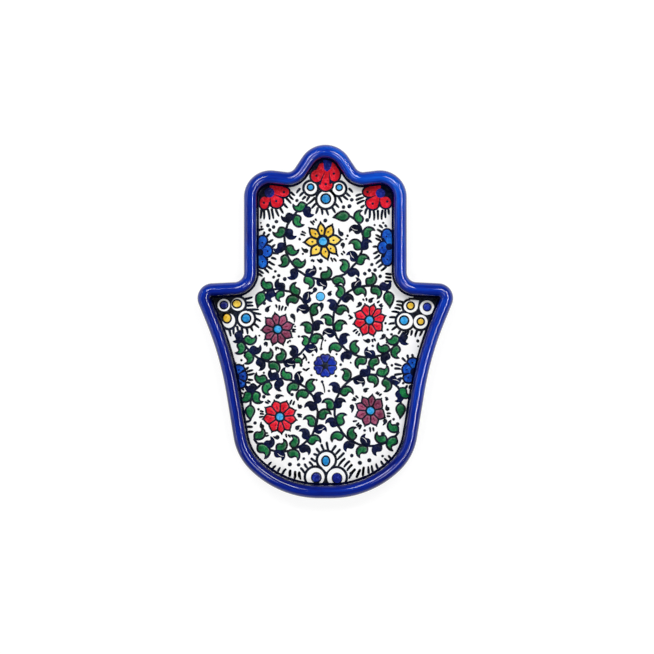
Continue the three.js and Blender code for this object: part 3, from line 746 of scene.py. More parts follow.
def rim_section():
    """The glazed surface from the foot of the flank, over the roll, to the white floor."""
    section = []
    for share in (step / FLANK_STEPS for step in range(FLANK_STEPS)):
        inset = UNDERSIDE_INSET * (1 - share) ** FLANK_BOW
        section.append((inset, FOOT_HEIGHT + share * (WIDEST_HEIGHT - FOOT_HEIGHT)))
    for angle in quarter(OUTER_STEPS)[:-1]:
        height = WIDEST_HEIGHT + (DISH_HEIGHT - WIDEST_HEIGHT) * math.sin(angle)
        section.append((OUTER_ROLL * (1 - math.cos(angle)), height))
    for angle in quarter(INNER_STEPS)[:-1]:
        height = DISH_HEIGHT - INNER_DROP * (1 - math.cos(angle))
        section.append((OUTER_ROLL + INNER_ROLL * math.sin(angle), height))
    wall_top = (OUTER_ROLL + INNER_ROLL, DISH_HEIGHT - INNER_DROP)
    wall_foot = (FLOOR_INSET - FLOOR_ROUND, FLOOR_HEIGHT + FLOOR_ROUND)
    for share in (step / WALL_STEPS for step in range(WALL_STEPS)):
        section.append(tuple(a + (b - a) * share for a, b in zip(wall_top, wall_foot)))
    for share in (step / (FILLET_STEPS - 1) for step in range(FILLET_STEPS)):
        inset = wall_foot[0] + (RIM_END_INSET - wall_foot[0]) * share ** FILLET_CROWDING
        section.append((inset, float(fillet_height(FLOOR_INSET - inset)) + RIM_END_PROUD))
    return section


def offset_section(section, distance):
    """The same section a distance behind its surface."""
    behind = []
    for i, point in enumerate(section):
        before, after = section[max(i - 1, 0)], section[min(i + 1, len(section) - 1)]
        way = Vector((after[0] - before[0], after[1] - before[1])).normalized()
        behind.append((point[0] + way.y * distance, point[1] - way.x * distance))
    return behind


def lengths_along(points):
    """Distance of each point from the first, along the points."""
    lengths = [0]
    for a, b in zip(points, points[1:]):
        lengths.append(lengths[-1] + math.hypot(b[0] - a[0], b[1] - a[1]))
    return lengths


def ring_places(inset, height, size=1, uneven=0.0):
    """A ring round the hand with slight hand-made unevenness in height."""
    return [(p.x, p.y, height + wobble(p, size, uneven)) for p in hand_ring(inset)]


def rim_tone(at, roll_from, roll_to, end):
    """How dark and how glossy the glaze is at a distance along its section, with painted shade."""
    if at < roll_from:
        return FLANK_SHADE - FLANK_THINNING * at / roll_from, FLANK_GLOSS
    if at > roll_to:
        # Painted shade down the wall, deepening at its foot where glaze pooling and painted shade
        # meet
        return WALL_SHADE + change((at - roll_to) / (end - roll_to), *WALL_FOOT_POOL_AND_SHADE), WALL_GLOSS
    share = (at - roll_from) / (roll_to - roll_from)
    shade = ROLL_SHADE * abs(2 * share - ROLL_THINNEST) ** ROLL_POWER
    # Painted shade at the roll's outer edge and at its inner edge, where it turns down into the
    # wall
    shade += ROLL_OUTER_EDGE_SHADE[0] - change(share, *ROLL_OUTER_EDGE_SHADE)
    shade += change(share, *ROLL_INNER_EDGE_SHADE)
    return shade, FLANK_GLOSS + change(share, *CREST_SHINE) - change(share, *ROLL_END_DULLING)


def build_rim():
    """One skin of glaze, front and back, whose points carry the glaze's run and tone with painted
    shade.
    """
    section = rim_section()
    behind = offset_section(section, GLAZE)
    lengths = lengths_along(section)
    roll = lengths[FLANK_STEPS], lengths[FLANK_STEPS + OUTER_STEPS + INNER_STEPS]
    outline = [tuple(p) for p in hand_ring(0)]
    around = lengths_along([*outline, outline[0]])
    radius = around[-1] / math.tau
    ways = [
        (radius * math.cos(at / radius), radius * math.sin(at / radius)) for at in around[:-1]
    ]
    rings, flow, pool_and_shade, gloss = [], [], [], []
    rows = zip(section + behind[::-1], lengths + lengths[::-1])
    for row, ((inset, height), at) in enumerate(rows):
        size, uneven = CREST_WAVES
        raised = rise(height, WIDEST_HEIGHT, DISH_HEIGHT)
        places = ring_places(inset, height, size, uneven * raised)
        rings += unsteady(places, RIM_END_WAVES) if row == len(section) - 1 else places
        shade, shine = rim_tone(at, *roll, lengths[-1])
        flow += [value for way in ways for value in (*way, at)]
        pool_and_shade += [shade] * len(ways)
        gloss += [shine] * len(ways)
    shape = Shape()
    shape.add(rings, loft_faces(len(ways), 2 * len(section)))
    rim = shape.piece("cobalt_rim", COBALT, "cobalt_rim_glaze", sharp=RIM_SHARP)
    for name, kind, key, values in (
        ("flow", "FLOAT_VECTOR", "vector", flow),
        ("pool_and_shade", "FLOAT", "value", pool_and_shade),
        ("gloss", "FLOAT", "value", gloss),
    ):
        rim.data.attributes.new(name, kind, "POINT").data.foreach_set(key, values)


def flat_faces(ring, flip):
    """Triangles that close a ring, as rows of its own points."""
    flat = [Vector((p[0], p[1])) for p in ring]
    own = list(range(len(ring)))
    places, _, faces, sources, _, _ = delaunay_2d_cdt(flat, [], [own], 1, RING_MERGE)
    rows = [
        source[0] if source else min(own, key=lambda i: (flat[i] - place).length)
        for source, place in zip(sources, places)
    ]
    faces = [tuple(rows[i] for i in face) for face in faces]
    return [face[::-1] if flip else face for face in faces if len(set(face)) == len(face)]


def caps(places, count, flip=False):
    """Faces that close the first and the last ring of a loft."""
    last = len(places) - count
    end = [tuple(last + i for i in face) for face in flat_faces(places[last:], flip)]
    return flat_faces(places[:count], not flip) + end


def build_floor():
    shape = Shape()
    shape.add(*plate_shell([hand_ring(UNDER_WALL_INSET)], FLOOR_HEIGHT, (), CLAY_FLOOR))
    shape.piece("white_floor", WHITE, "white_floor_glaze")


def foot_ring(inset, height):
    return [(p.x, p.y, height) for p in rounded_outline(FOOT, inset)]


def build_clay():
    """The dish under its glaze, and the foot ring let into it."""
    edge = UNDERSIDE_INSET + GLAZE
    section = [(edge + CLAY_EDGE_WIDTH, FOOT_HEIGHT), (edge, FOOT_HEIGHT + CLAY_EDGE_RISE)]
    section += offset_section(rim_section(), GLAZE)[1:-FILLET_STEPS]
    section.append((UNDER_WALL_INSET, CLAY_FLOOR))
    places = [place for row in section for place in ring_places(*row)]
    count = len(EDGE)
    shape = Shape()
    shape.add(places, loft_faces(count, len(section), closed=False) + caps(places, count))
    ring = [(0, FOOT_HEIGHT + FOOT_SUNK), (0, FOOT_HEIGHT), (FOOT_DRAFT, FOOT_ROUND)]
    for angle in quarter(FOOT_ROUND_STEPS)[1:]:
        inset = FOOT_DRAFT + FOOT_ROUND - FOOT_ROUND * math.cos(angle)
        ring.append((inset, FOOT_ROUND - FOOT_ROUND * math.sin(angle)))
    for angle in quarter(FOOT_ROUND_STEPS):
        inset = FOOT_WIDTH - FOOT_DRAFT - FOOT_ROUND + FOOT_ROUND * math.sin(angle)
        ring.append((inset, FOOT_ROUND - FOOT_ROUND * math.cos(angle)))
    ring += [(FOOT_WIDTH, FOOT_HEIGHT), (FOOT_WIDTH, FOOT_HEIGHT + FOOT_SUNK)]
    places = [place for row in ring for place in foot_ring(*row)]
    shape.add(places, [face[::-1] for face in loft_faces(len(places) // len(ring), len(ring))])
    shape.piece("clay_dish", CLAY, "clay_body", sharp=CLAY_SHARP)


def build_base_glaze():
    """Glaze inside the foot ring, with a soft uneven edge."""
    top = FOOT_HEIGHT + BASE_GLAZE_PROUD
    places = []
    for inset, drop in BASE_GLAZE_EDGE:
        places += unsteady(foot_ring(FOOT_WIDTH + inset, top - drop), BASE_GLAZE_WAVES)
    count = len(places) // len(BASE_GLAZE_EDGE)
    sides = loft_faces(count, len(BASE_GLAZE_EDGE), closed=False)
    shape = Shape()
    shape.add(places, [face[::-1] for face in sides] + caps(places, count, flip=True))
    shape.piece("white_base", BASE_WHITE, "white_base_glaze", sharp=RIM_SHARP)


build_rim()
build_floor()
build_clay()
build_base_glaze()


# Wreaths

# Kinds of leaf: green, navy, and green at the end of a stem. Each has an outer and an inner line,
# along the way from the stem to the tip with a length of 1.
G, N, E = "green", "navy", "end"
LEAF_LENGTHS = {G: 6.9, N: 6.0, E: 8.4}
LEAF_LINE_GROWTH, LEAF_FILL_GROWTH = 0.15, 0.16
CURLED_LEAF = (
    [
        (0.02, 0), (0.1, 0.13), (0.24, 0.25), (0.4, 0.29), (0.54, 0.22), (0.64, 0.1), (0.74, 0.05),
        (0.84, 0.09), (0.95, 0.22), (1, 0.04), (0.96, -0.14), (0.85, -0.3), (0.68, -0.4),
        (0.5, -0.42), (0.32, -0.37), (0.17, -0.26), (0.07, -0.13),
    ],
    [
        (0.11, 0), (0.19, 0.12), (0.29, 0.19), (0.4, 0.21), (0.5, 0.15), (0.6, 0.03), (0.72, -0.03),
        (0.83, -0.01), (0.91, 0.05), (0.88, -0.12), (0.79, -0.24), (0.66, -0.32), (0.5, -0.34),
        (0.34, -0.29), (0.21, -0.19),
    ],
)
STRAIGHT_LEAF = (
    [
        (0, 0), (0.06, 0.12), (0.17, 0.23), (0.33, 0.3), (0.51, 0.28), (0.69, 0.19), (0.85, 0.1),
        (1, 0.05), (0.88, -0.06), (0.72, -0.19), (0.53, -0.29), (0.34, -0.32), (0.17, -0.24),
        (0.06, -0.12),
    ],
    [
        (0.08, 0), (0.16, 0.14), (0.31, 0.235), (0.49, 0.22), (0.66, 0.14), (0.84, 0.045),
        (0.7, -0.115), (0.53, -0.215), (0.34, -0.25), (0.17, -0.17),
    ],
)

# The bare slit in some navy leaves: its ends, bend, steps and widths as shares of the leaf
SLIT_ENDS = ((0.34, -0.02), (0.86, -0.15))
SLIT_BEND, SLIT_STEPS = 0.13, 5
SLIT_WIDTHS = (0.12, 0.24, 0.28, 0.26, 0.2, 0.12)

STEM_WIDTH = 1.15
STEM_STEPS = 48
STEM_END_ANGLE = 28
STEM_END_POWER = 1.6


def add_leaf(lines, fills, navy, base, heading, curl, kind, size, slit):
    length = LEAF_LENGTHS[kind] * size
    outer, inner = (
        turned(smoothed([(x, curl * y) for x, y in line]), heading, length, base)
        for line in (STRAIGHT_LEAF if kind == E else CURLED_LEAF)
    )
    outer = drawn_in(outer, LEAF_LINE_GROWTH * curl)
    inner = drawn_in(inner, -LEAF_FILL_GROWTH * curl)
    if kind != N:
        lines.flat(outer)
        fills.fill(inner)
    elif slit:
        start, end = ((x, curl * y) for x, y in SLIT_ENDS)
        middle = bent(start, end, curl * SLIT_BEND, SLIT_STEPS)
        bare = stroke_outline(turned(middle, heading, length, base), SLIT_WIDTHS)
        navy.flat(outer, SLIT_LEAF_TOP, [bare])
    else:
        navy.flat(outer, BAND_TOP)
        navy.fill(inner, SECOND_FILL_TOP)


def leaf_row(angle, lean, kind, size=1, drawn=0):
    return angle, lean, kind, size, drawn


def build_wreath(name, centre, radius, turn, leaves, slits):
    """A stem with its leaves as (angle, lean, kind, size, how far the stem is drawn in there)."""
    lines, fills, navy = Shape(), Shape(), Shape()
    leaves = [leaf_row(*leaf) for leaf in leaves]
    first, last, drawn = leaves[0][0], leaves[-1][0], leaves[-1][4]
    stem = []
    for k in range(STEM_STEPS + 1):
        angle = first + (last - first) * k / STEM_STEPS
        pull = drawn * max(0, 1 - abs(last - angle) / STEM_END_ANGLE) ** STEM_END_POWER
        reach = radius - pull + wobble((angle, radius), *STEM_WAVES)
        stem.append(Vector(centre) + polar(reach, angle))
    lines.flat(stroke_outline(stem, [STEM_WIDTH] * len(stem)), STROKE_TOP)
    for row, (angle, lean, kind, size, pull) in enumerate(leaves):
        base = Vector(centre) + polar(radius - pull, angle)
        heading = angle + turn * (90 - lean)
        curl = -turn * math.copysign(1, lean)
        add_leaf(lines, fills, navy, base, heading, curl, kind, size, row in slits)
    fills.piece(f"vine_{name}_leaves", GREEN, f"vine_{name}")
    lines.piece(f"vine_{name}_lines", INK)
    navy.piece(f"vine_{name}_navy_leaves", NAVY)


# Wreaths as (name, middle, radius, way round, leaves, rows of the leaves with a slit)
WREATHS = [
    (
        "top", (-0.7, 38.0), 18.4, 1,
        [
            (115, 16, G), (119, -95, N), (140, 34, N), (138, -72, G), (162, 45, G), (163, -59, N),
            (184, 55, N), (189, -58, G), (200, 45, G), (214, -57, G), (225, 75, N), (242, -65, N),
            (242, 38, G), (266, -56, G), (260, 38, N), (281, 30, G), (303, -69, G), (306, 47, N),
            (324, 27, G), (328, -79, N), (347, -70, G), (346, 26, N), (363, 48, G), (374, -69, N),
            (384, 23, G), (403, -50, E, 1, 1.5),
        ],
        {11, 14, 19, 23},
    ),
    (
        "left", (-23.0, -2.0), 17.2, 1,
        [
            (188, 28, N), (203, -75, G), (204, 44, G), (222, -60, N), (221, 45, G), (245, -62, G),
            (241, 46, N), (272, -66, G), (258, 33, G), (281, 32, N), (300, -74, N),
            (299, 70, G, 0.7), (321, 56, N), (325, -50, G, 0.8), (334, 44, G), (348, -56, G),
            (353, 41, N), (375, 43, G), (385, -62, N), (397, 60, N), (413, 33, G), (411, -65, G),
            (437, 38, N), (439, -75, G, 0.85), (455, -68, N), (455, 46, G), (470, -47, E),
        ],
        {9, 12, 18, 19},
    ),
    (
        "right", (20.4, 0.0), 16.8, -1,
        [
            (-18, 31, N), (-28, -55, G), (-39, 37, G), (-53, -57, G), (-58, 43, N), (-76, 52, G),
            (-80, -50, N), (-93, 43, G), (-112, -68, G), (-118, 60, N), (-137, 65, G),
            (-140, -69, N), (-159, 62, N), (-165, -66, G), (-174, 43, G), (-196, -67, G),
            (-197, 41, N), (-219, -50, N), (-219, 52, G), (-243, 35, N), (-243, -45, G),
            (-266, 52, G), (-274, -51, G), (-286, 30, N), (-301, -48, E),
        ],
        {6, 12, 19},
    ),
    (
        "lower_left", (-20.7, -43.8), 17.1, 1,
        [
            (222, -95, G), (230, 14, G, 1.2), (243, -75, N), (259, 28, N), (262, -55, G),
            (279, 38, G), (290, -71, G), (299, 55, N), (314, 38, G), (318, -77, N), (334, 53, N),
            (342, -67, G), (355, 58, G), (370, -62, N), (378, 43, N), (397, 46, G), (399, -75, G),
            (418, 51, N), (420, -68, G), (433, 33, G), (450, -78, N), (453, 38, N), (471, 45, G),
            (470, -64, G), (490, 40, N), (498, -70, G), (502, 22, G), (521, -17, E, 0.92, 1.9),
        ],
        {3, 10, 17},
    ),
    (
        "lower_right", (21.1, -41.5), 16.8, -1,
        [
            (-38, -98, G), (-45, 23, G, 1.1), (-61, -59, G), (-72, 35, N), (-92, -58, N),
            (-94, 48, G), (-116, 60, N), (-120, -64, G), (-136, 63, G), (-153, -51, G),
            (-155, 44, N), (-181, 51, G), (-184, -47, N), (-209, -55, G), (-209, 70, N),
            (-231, 68, G), (-241, -54, N), (-253, 25, N), (-266, -57, G), (-279, 39, G),
            (-300, 26, N), (-294, -58, G), (-322, 16, G), (-325, -44, N), (-346, -13, E, 0.92, 2.3),
        ],
        {4, 16, 20},
    ),
]

for wreath in WREATHS:
    build_wreath(*wreath)


# Flowers

# Flowers as (name, middle, reach, tip angles, finish, share of the reach between two petals)
FLOWERS = [
    ("top", (-1.1, 37.6), 9.4, (97.5, 60.8, 4.8, -43.6, -75.4, -130, 183, 136), YELLOW, 0.6),
    (
        "left", (-22.3, -3.6), 8.1, (99.8, 61.5, 17, -29.3, -71, -107.9, -141.5, 183, 136.4), PLUM,
        0.7,
    ),
    (
        "right", (20.7, 0.7), 8.1, (106, 74.3, 43.8, 14.5, -40.6, -75.8, -114, 193.9, 154.5), RED,
        0.74,
    ),
    (
        "lower_left", (-21.3, -44.6), 8.4,
        (108.7, 66.4, 21.9, -11, -53.8, -83.8, -117.6, 187.8, 148), RED, 0.76,
    ),
    (
        "lower_right", (21.2, -41.8), 7.9, (83.9, 48.4, -25.3, -68.6, -110.3, 201, 154.8, 120.7),
        PLUM, 0.7,
    ),
]
# Middle of a flower: radius of its eye and of the ring round it, and inset of the petals' fill
YELLOW_MIDDLE = (1.95, 2.95, 0.5)
OTHER_MIDDLE = (1.75, 2.45, 0.32)
PETAL_REACH = 0.93
PETAL_LINE_WIDTH = 0.45
PETAL_TUCK = 0.3
RING_OVERLAP = 0.1
SPIKE_PLACES, SPIKE_WIDTHS = (0.86, 0.93, 1), (1.3, 1.1, 0.6)
SPOT_PLACE = 0.53
SEED_WIDE, SEED_HIGH = 0.6, 0.48
VEIN_LENGTH, PLUM_VEIN_SHARE = 0.085, 1.3
VEIN_PLACES, VEIN_HALVES = (-1, -0.4, 0.4, 1), (0.1, 0.34, 0.36, 0.08)
# A petal's side is one curve from the valley over a shoulder and a neck to the tip
SHOULDER_REACH, VALLEY_SHARE, SHOULDER_TURN = 0.47, 0.55, 0.88
NECK_REACH, NECK_TURN = 0.92, 0.22
SIDE_SHARES = (0, 0.18, 0.36, 0.55, 0.78)
ROUND_STEPS, EYE_STEPS, SEED_STEPS = 28, 24, 14


def petal_outline(reach, tip, before, after, valley, inner):
    """A petal between two radial sides, with shoulders that draw in to its tip."""
    sides = []
    for half, way in ((before, -1), (after, 1)):
        a = polar(reach * valley, tip + way * half)
        shoulder = VALLEY_SHARE * valley + SHOULDER_REACH
        b = polar(reach * shoulder, tip + way * half * SHOULDER_TURN)
        c = polar(reach * NECK_REACH, tip + way * half * NECK_TURN)
        d = polar(reach, tip)
        sides.append([
            a * (1 - t) ** 3 + b * 3 * t * (1 - t) ** 2 + c * 3 * t * t * (1 - t) + d * t ** 3
            for t in SIDE_SHARES
        ])
    foot = [polar(inner, tip + after * k) for k in (1, 0)] + [polar(inner, tip - before)]
    return [foot[2]] + sides[0] + [polar(reach, tip)] + sides[1][::-1] + foot[:2]


def build_flower(name, centre, reach, tips, finish, valley):
    centre = Vector(centre)
    tips = sorted(tip % 360 for tip in tips)
    gaps = [(tips[(i + 1) % len(tips)] - tip) % 360 for i, tip in enumerate(tips)]
    lines, petals, heart, veins = Shape(), Shape(), Shape(), Shape()
    rims = []
    eye, ring, inset = YELLOW_MIDDLE if finish == YELLOW else OTHER_MIDDLE
    for i, tip in enumerate(tips):
        sides = gaps[i - 1] / 2, gaps[i] / 2
        petal = petal_outline(reach * PETAL_REACH, tip, *sides, valley, ring - PETAL_TUCK)
        petal = [p + centre for p in petal]
        rims.append(drawn_in(petal, -PETAL_LINE_WIDTH))
        spike = [centre + polar(reach * k, tip) for k in SPIKE_PLACES]
        rims.append(stroke_outline(spike, SPIKE_WIDTHS))
        petals.pillow(drawn_in(petal, inset))
        spot = centre + polar(reach * SPOT_PLACE, tip)
        if finish == YELLOW:
            lines.pillow(oval(spot, SEED_WIDE, SEED_HIGH, SEED_STEPS, tip), EYE_TOP)
        else:
            long = VEIN_LENGTH * reach * (PLUM_VEIN_SHARE if finish == PLUM else 1)
            dash = [spot + polar(long * k, tip) for k in VEIN_PLACES]
            veins.drape(*strip_shell(dash, VEIN_HALVES, VEIN_TOP))
    lines.plate([*rims, circle(ring + RING_OVERLAP, ROUND_STEPS, centre)], LINE_TOP, within=None)
    hole = circle(eye - RING_OVERLAP, ROUND_STEPS, centre)
    lines.plate([circle(ring, ROUND_STEPS, centre)], RING_TOP, [hole], within=None)
    heart.pillow(circle(eye, EYE_STEPS, centre), EYE_TOP)
    petals.piece(f"flower_{name}_petals_enamel", finish, f"flower_{name}_petals")
    lines.piece(f"flower_{name}_lines", INK, f"flower_{name}_outline")
    heart.piece(f"flower_{name}_eye", TURQUOISE, f"flower_{name}_heart")
    if veins.points:
        veins.piece(f"flower_{name}_veins", CRIMSON, slot=SLOTS[finish])


# Blue flower: its disc and heart as (radius, steps), and half a petal's outline as shares of the
# reach and of half the width
BLUE_MIDDLE = (0.0, -20.6)
BLUE_REACH, BLUE_PETALS, BLUE_LINE_WIDTH = 5.3, 6, 0.5
BLUE_DISC, BLUE_HEART = (4.2, 32), (1.5, 20)
LOBE_WIDTH = 0.86
LOBE = (
    (0.26, 0), (0.34, 0.25), (0.5, 0.58), (0.68, 0.82), (0.82, 0.9), (0.93, 0.7), (0.965, 0.4),
    (0.88, 0),
)


def build_blue_flower():
    """A flower of equal petals, whose round ends have a notch."""
    centre = Vector(BLUE_MIDDLE)
    lines, fills = Shape(), Shape()
    pitch = 360 // BLUE_PETALS
    wide = BLUE_REACH * LOBE_WIDTH * math.sin(math.radians(pitch / 2))
    side = [(x * BLUE_REACH, -y * wide) for x, y in LOBE]
    petal = smoothed(side + [(x, -y) for x, y in side[-2:0:-1]])
    petals = [turned(petal, pitch / 2 + pitch * i) for i in range(BLUE_PETALS)]
    rims = [[p + centre for p in drawn_in(petal, -BLUE_LINE_WIDTH)] for petal in petals]
    for petal in petals:
        fills.pillow([p + centre for p in petal])
    lines.plate([*rims, circle(*BLUE_DISC, centre)], LINE_TOP, within=None)
    lines.pillow(circle(*BLUE_HEART, centre), DROP_TOP)
    fills.piece("blue_flower_fills", RIM_BLUE, "blue_flower_petals")
    lines.piece("blue_flower_lines", INK, "blue_flower_heart")


for flower in FLOWERS:
    build_flower(*flower)
build_blue_flower()


# Half flowers and fingertip flowers

# Flowers as (name, heart, field joining the lobes, lobes as (middle, half width, half height,
# dot)), with the heart as an outline or as a circle's place and radius
HALF_FLOWERS = [
    (
        "finger_left", (-30.6, 32.4, 1.6),
        [(-31.5, 37.8), (-29, 37.8), (-26.6, 32.9), (-29, 27.5), (-31.5, 27.5)],
        [
            ((-29.4, 37.7), 2.2, 2.5, (-29.5, 36.9)), ((-27.3, 33.0), 2.4, 2.75, (-27.0, 32.9)),
            ((-29.4, 27.5), 2.2, 2.5, (-29.4, 28.0)),
        ],
    ),
    (
        "finger_right", (29.9, 35.0, 1.6),
        [(31.5, 40.2), (28.9, 40.2), (26.2, 34.7), (28.9, 29.3), (31.5, 29.3)],
        [
            ((28.9, 40.2), 2.5, 3.1, (28.6, 39.8)), ((27.2, 34.6), 2.5, 2.9, (26.6, 34.6)),
            ((28.9, 29.3), 2.5, 3.1, (29.0, 29.1)),
        ],
    ),
    (
        "palm_left", (-42.3, -25.8, 2.1),
        [(-44, -22), (-40, -22), (-38.2, -25.6), (-39.5, -29.4), (-42, -30)],
        [
            ((-40.7, -22.6), 2.8, 2.3, (-40.5, -22.7)), ((-38.9, -25.6), 2.2, 2.9, (-38.6, -25.7)),
            ((-39.9, -28.9), 2.5, 2.3, (-39.6, -28.8)),
        ],
    ),
    (
        "palm_right", (41.9, -23.6, 2.1),
        [(43, -19.5), (40, -19.5), (38, -23), (39.4, -27), (42, -27.5)],
        [
            ((41.0, -19.4), 2.6, 2.3, (40.8, -19.3)), ((38.5, -22.5), 2.4, 2.7, (38.2, -22.5)),
            ((39.0, -26.3), 2.4, 2.4, (38.8, -26.3)),
        ],
    ),
]
RED_FLOWERS = [
    (
        # The middle flower's heart is partly its own dark centre, partly painted shade where it
        # reaches up under the rim
        "middle", [(-1.1, 77), (3.2, 77), (3.1, 74), (2.3, 71.3), (0.8, 70.2), (-0.6, 71.2)],
        [
            (-4.6, 70), (-2.9, 73.6), (-1.3, 74.4), (0.6, 72.5), (2.6, 74.8), (4.6, 74.2),
            (5.6, 71), (3.4, 67.2), (0.2, 65), (-3.2, 66.8),
        ],
        [
            ((-4.1, 68.2), 2.9, 3.1, (-4.1, 68.3)), ((0.15, 64.1), 3.4, 3.0, (0.2, 64.3)),
            ((4.2, 69.1), 2.8, 3.7, (4.0, 69.3)),
        ],
    ),
    (
        "left", (-26.1, 60.4, 2.3),
        [(-28.8, 56), (-22.8, 56), (-19.5, 60.4), (-20, 66), (-26, 66), (-26, 60)],
        [
            ((-28.6, 55.6), 2.3, 3.1, (-28.8, 55.7)), ((-22.9, 56.3), 3.2, 3.2, (-23.0, 56.4)),
            ((-19.6, 60.6), 2.9, 2.5, (-19.4, 60.6)),
        ],
    ),
    (
        "right", (25.8, 60.1, 2.2),
        [(20.5, 60.4), (20.5, 66), (26, 66), (26, 60), (29, 56), (22.2, 56)],
        [
            ((20.4, 60.7), 2.8, 2.4, (19.8, 60.7)), ((22.2, 55.6), 3.2, 3.2, (22.2, 55.2)),
            ((28.3, 55.8), 2.7, 2.9, (29.0, 56.2)),
        ],
    ),
]
# Painted shade: dark plates between the wall and the flowers or eyes in the dish's corners, under
# the rim
CORNER_SHADE_PLATES = {
    "middle": [(-6.5, 69.8), (-3, 71), (4, 71.6), (7, 70), (8, 80), (-8, 80)],
    "left": [(-26, 60), (-24, 66), (-36, 66), (-36, 56.2), (-29, 56.6)],
    "right": [(26, 60), (29.5, 56.6), (36, 56.2), (36, 66), (24, 66)],
    "thumb_left": [(-45.2, 0.4), (-40.9, 8.1), (-40.9, 15), (-56, 15), (-56, 6), (-49.5, 0.5)],
    "thumb_right": [(44.6, -0.1), (49.5, 0), (56, 6), (56, 15), (42, 15), (40.5, 8), (47.6, 6.5)],
    "wrist": [(-4.8, -72.9), (-4.8, -80), (5.2, -80), (5.2, -73.1)],
}
LOBE_LINE_WIDTH, LOBE_FILL_INSET = 0.6, 0.3
BLUE_DOT, RED_DOT = 0.42, 0.6
CREASE_PLACES, CREASE_WIDTHS = (1.7, 0.8, -0.4), (1.3, 0.9, 0.6, 0.25)


def build_cluster(heart_outline, field, lobes, dot, corner_shade=None):
    """Round lobes joined about a heart, as fills, dark lines with any painted corner shade, and
    heart.
    """
    fills, lines, heart = Shape(), Shape(), Shape()
    if len(heart_outline) == 3:
        heart_outline = oval(heart_outline[:2], heart_outline[2])
    rims, ovals = (
        [oval(middle, wide + more, high + more) for middle, wide, high, _ in lobes]
        for more in (LOBE_LINE_WIDTH, -LOBE_FILL_INSET)
    )
    # A corner's dark plate, if given, is painted shade
    lines.plate([*rims, heart_outline, *([corner_shade] if corner_shade else [])], LINE_TOP)
    for i, outline in enumerate(ovals):
        fills.plate([outline], SECOND_FILL_TOP if i % 2 else FILL_TOP, [heart_outline])
    fills.plate([field], FIELD_TOP, [heart_outline])
    for *_, spot in lobes:
        lines.flat(oval(spot, dot, dot, SEED_STEPS), IRIS_TOP)
    centre = middle_of(heart_outline)
    for lobe, after in zip(lobes, lobes[1:]):
        between = (Vector(lobe[0]) + Vector(after[0])) / 2
        out = (between - centre).normalized()
        crease = [between + out * reach for reach in CREASE_PLACES] + [between.lerp(centre, 0.5)]
        lines.plate([stroke_outline(crease, CREASE_WIDTHS)], CREASE_TOP)
    heart.plate([heart_outline], HEART_TOP)
    return fills, lines, heart


for name, heart_outline, field, lobes in HALF_FLOWERS:
    fills, lines, heart = build_cluster(heart_outline, field, lobes, BLUE_DOT)
    lines.add(heart.points, heart.faces)
    fills.piece(f"half_flower_{name}_fills", BLUE, f"half_flower_{name}")
    lines.piece(f"half_flower_{name}_lines", NAVY)
for name, heart_outline, field, lobes in RED_FLOWERS:
    fills, lines, heart = build_cluster(heart_outline, field, lobes, RED_DOT, CORNER_SHADE_PLATES[name])
    fills.piece(f"red_flower_{name}_lobes", RED, f"red_flower_{name}_petals")
    lines.piece(f"red_flower_{name}_lines", NAVY)
    heart.piece(f"red_flower_{name}_eye", RIM_BLUE, f"red_flower_{name}_heart")


# Eyes

# Groups of eyes as (name, eyes), and each eye as (middle, half width, half height, point or none,
# iris middle, its half width, half height, finish)
EYE_GROUPS = [
    ("finger_left", [((-6.8, 62.5), 2.9, 2.9, None, (-6.9, 62.9), 1.2, 1.2, TURQUOISE)]),
    ("finger_right", [((6.3, 62.2), 2.95, 2.95, None, (6.5, 62.8), 1.15, 1.15, TURQUOISE)]),
    ("finger_middle", [((0.2, 57.2), 3.9, 3.9, None, (0.2, 57.5), 1.95, 1.95, TURQUOISE)]),
    (
        "thumb_left",
        [
            ((-47.5, 7.7), 2.95, 2.95, None, (-47.5, 7.7), 1.7, 1.7, RIM_BLUE),
            ((-40.9, 8.1), 3.2, 3.05, None, (-41.4, 8.3), 1.85, 1.6, YELLOW),
            ((-45.2, 0.4), 2.95, 3.4, None, (-46.1, 1.6), 1.7, 1.95, YELLOW),
            ((-37.1, 1.4), 3.65, 3.65, None, (-37.1, 1.5), 1.85, 1.85, TURQUOISE),
        ],
    ),
    (
        "thumb_right",
        [
            ((40.0, 7.0), 3.3, 2.8, (43.9, 9.9), (39.9, 7.4), 1.45, 1.45, YELLOW),
            ((47.6, 6.5), 3.4, 3.4, None, (47.7, 6.8), 1.7, 1.7, RIM_BLUE),
            ((37.3, 0.2), 3.75, 3.75, None, (36.9, 0.5), 1.8, 1.8, TURQUOISE),
            ((44.6, -0.1), 3.3, 3.3, None, (44.7, 0.0), 1.35, 1.35, YELLOW),
        ],
    ),
    (
        "wrist",
        [
            ((0.5, -64.9), 3.9, 3.8, (0.5, -70.5), (0.2, -65.3), 1.5, 2.0, TURQUOISE),
            ((-4.7, -72.8), 4.3, 4.3, None, (-4.2, -73.1), 2.1, 2.2, RIM_BLUE),
            ((5.2, -73.0), 4.3, 4.3, None, (5.5, -73.4), 2.1, 2.2, RIM_BLUE),
        ],
    ),
]
# Eyes whose middles are joined by a dark field, in turn, by the count of eyes in the group
JOINED = {3: (1, 2, 0), 4: (2, 3, 1, 0)}
BAND = 1.2
IRIS_BAND, BLUE_IRIS_BAND = 0.7, 0.45
SPUR_HALF_WIDTH, SPUR_START, SPUR_GROWTH = 0.86, 0.5, 1.6


def spur(centre, wide, tip, more=0.0):
    """A pointed end of an oval, from its widest part to the tip."""
    centre, tip = Vector(centre), Vector(tip)
    way = (tip - centre).normalized()
    side = left_of(way) * (wide * SPUR_HALF_WIDTH + more)
    foot = centre + way * wide * SPUR_START
    return [foot - side, tip + way * more * SPUR_GROWTH, foot + side]


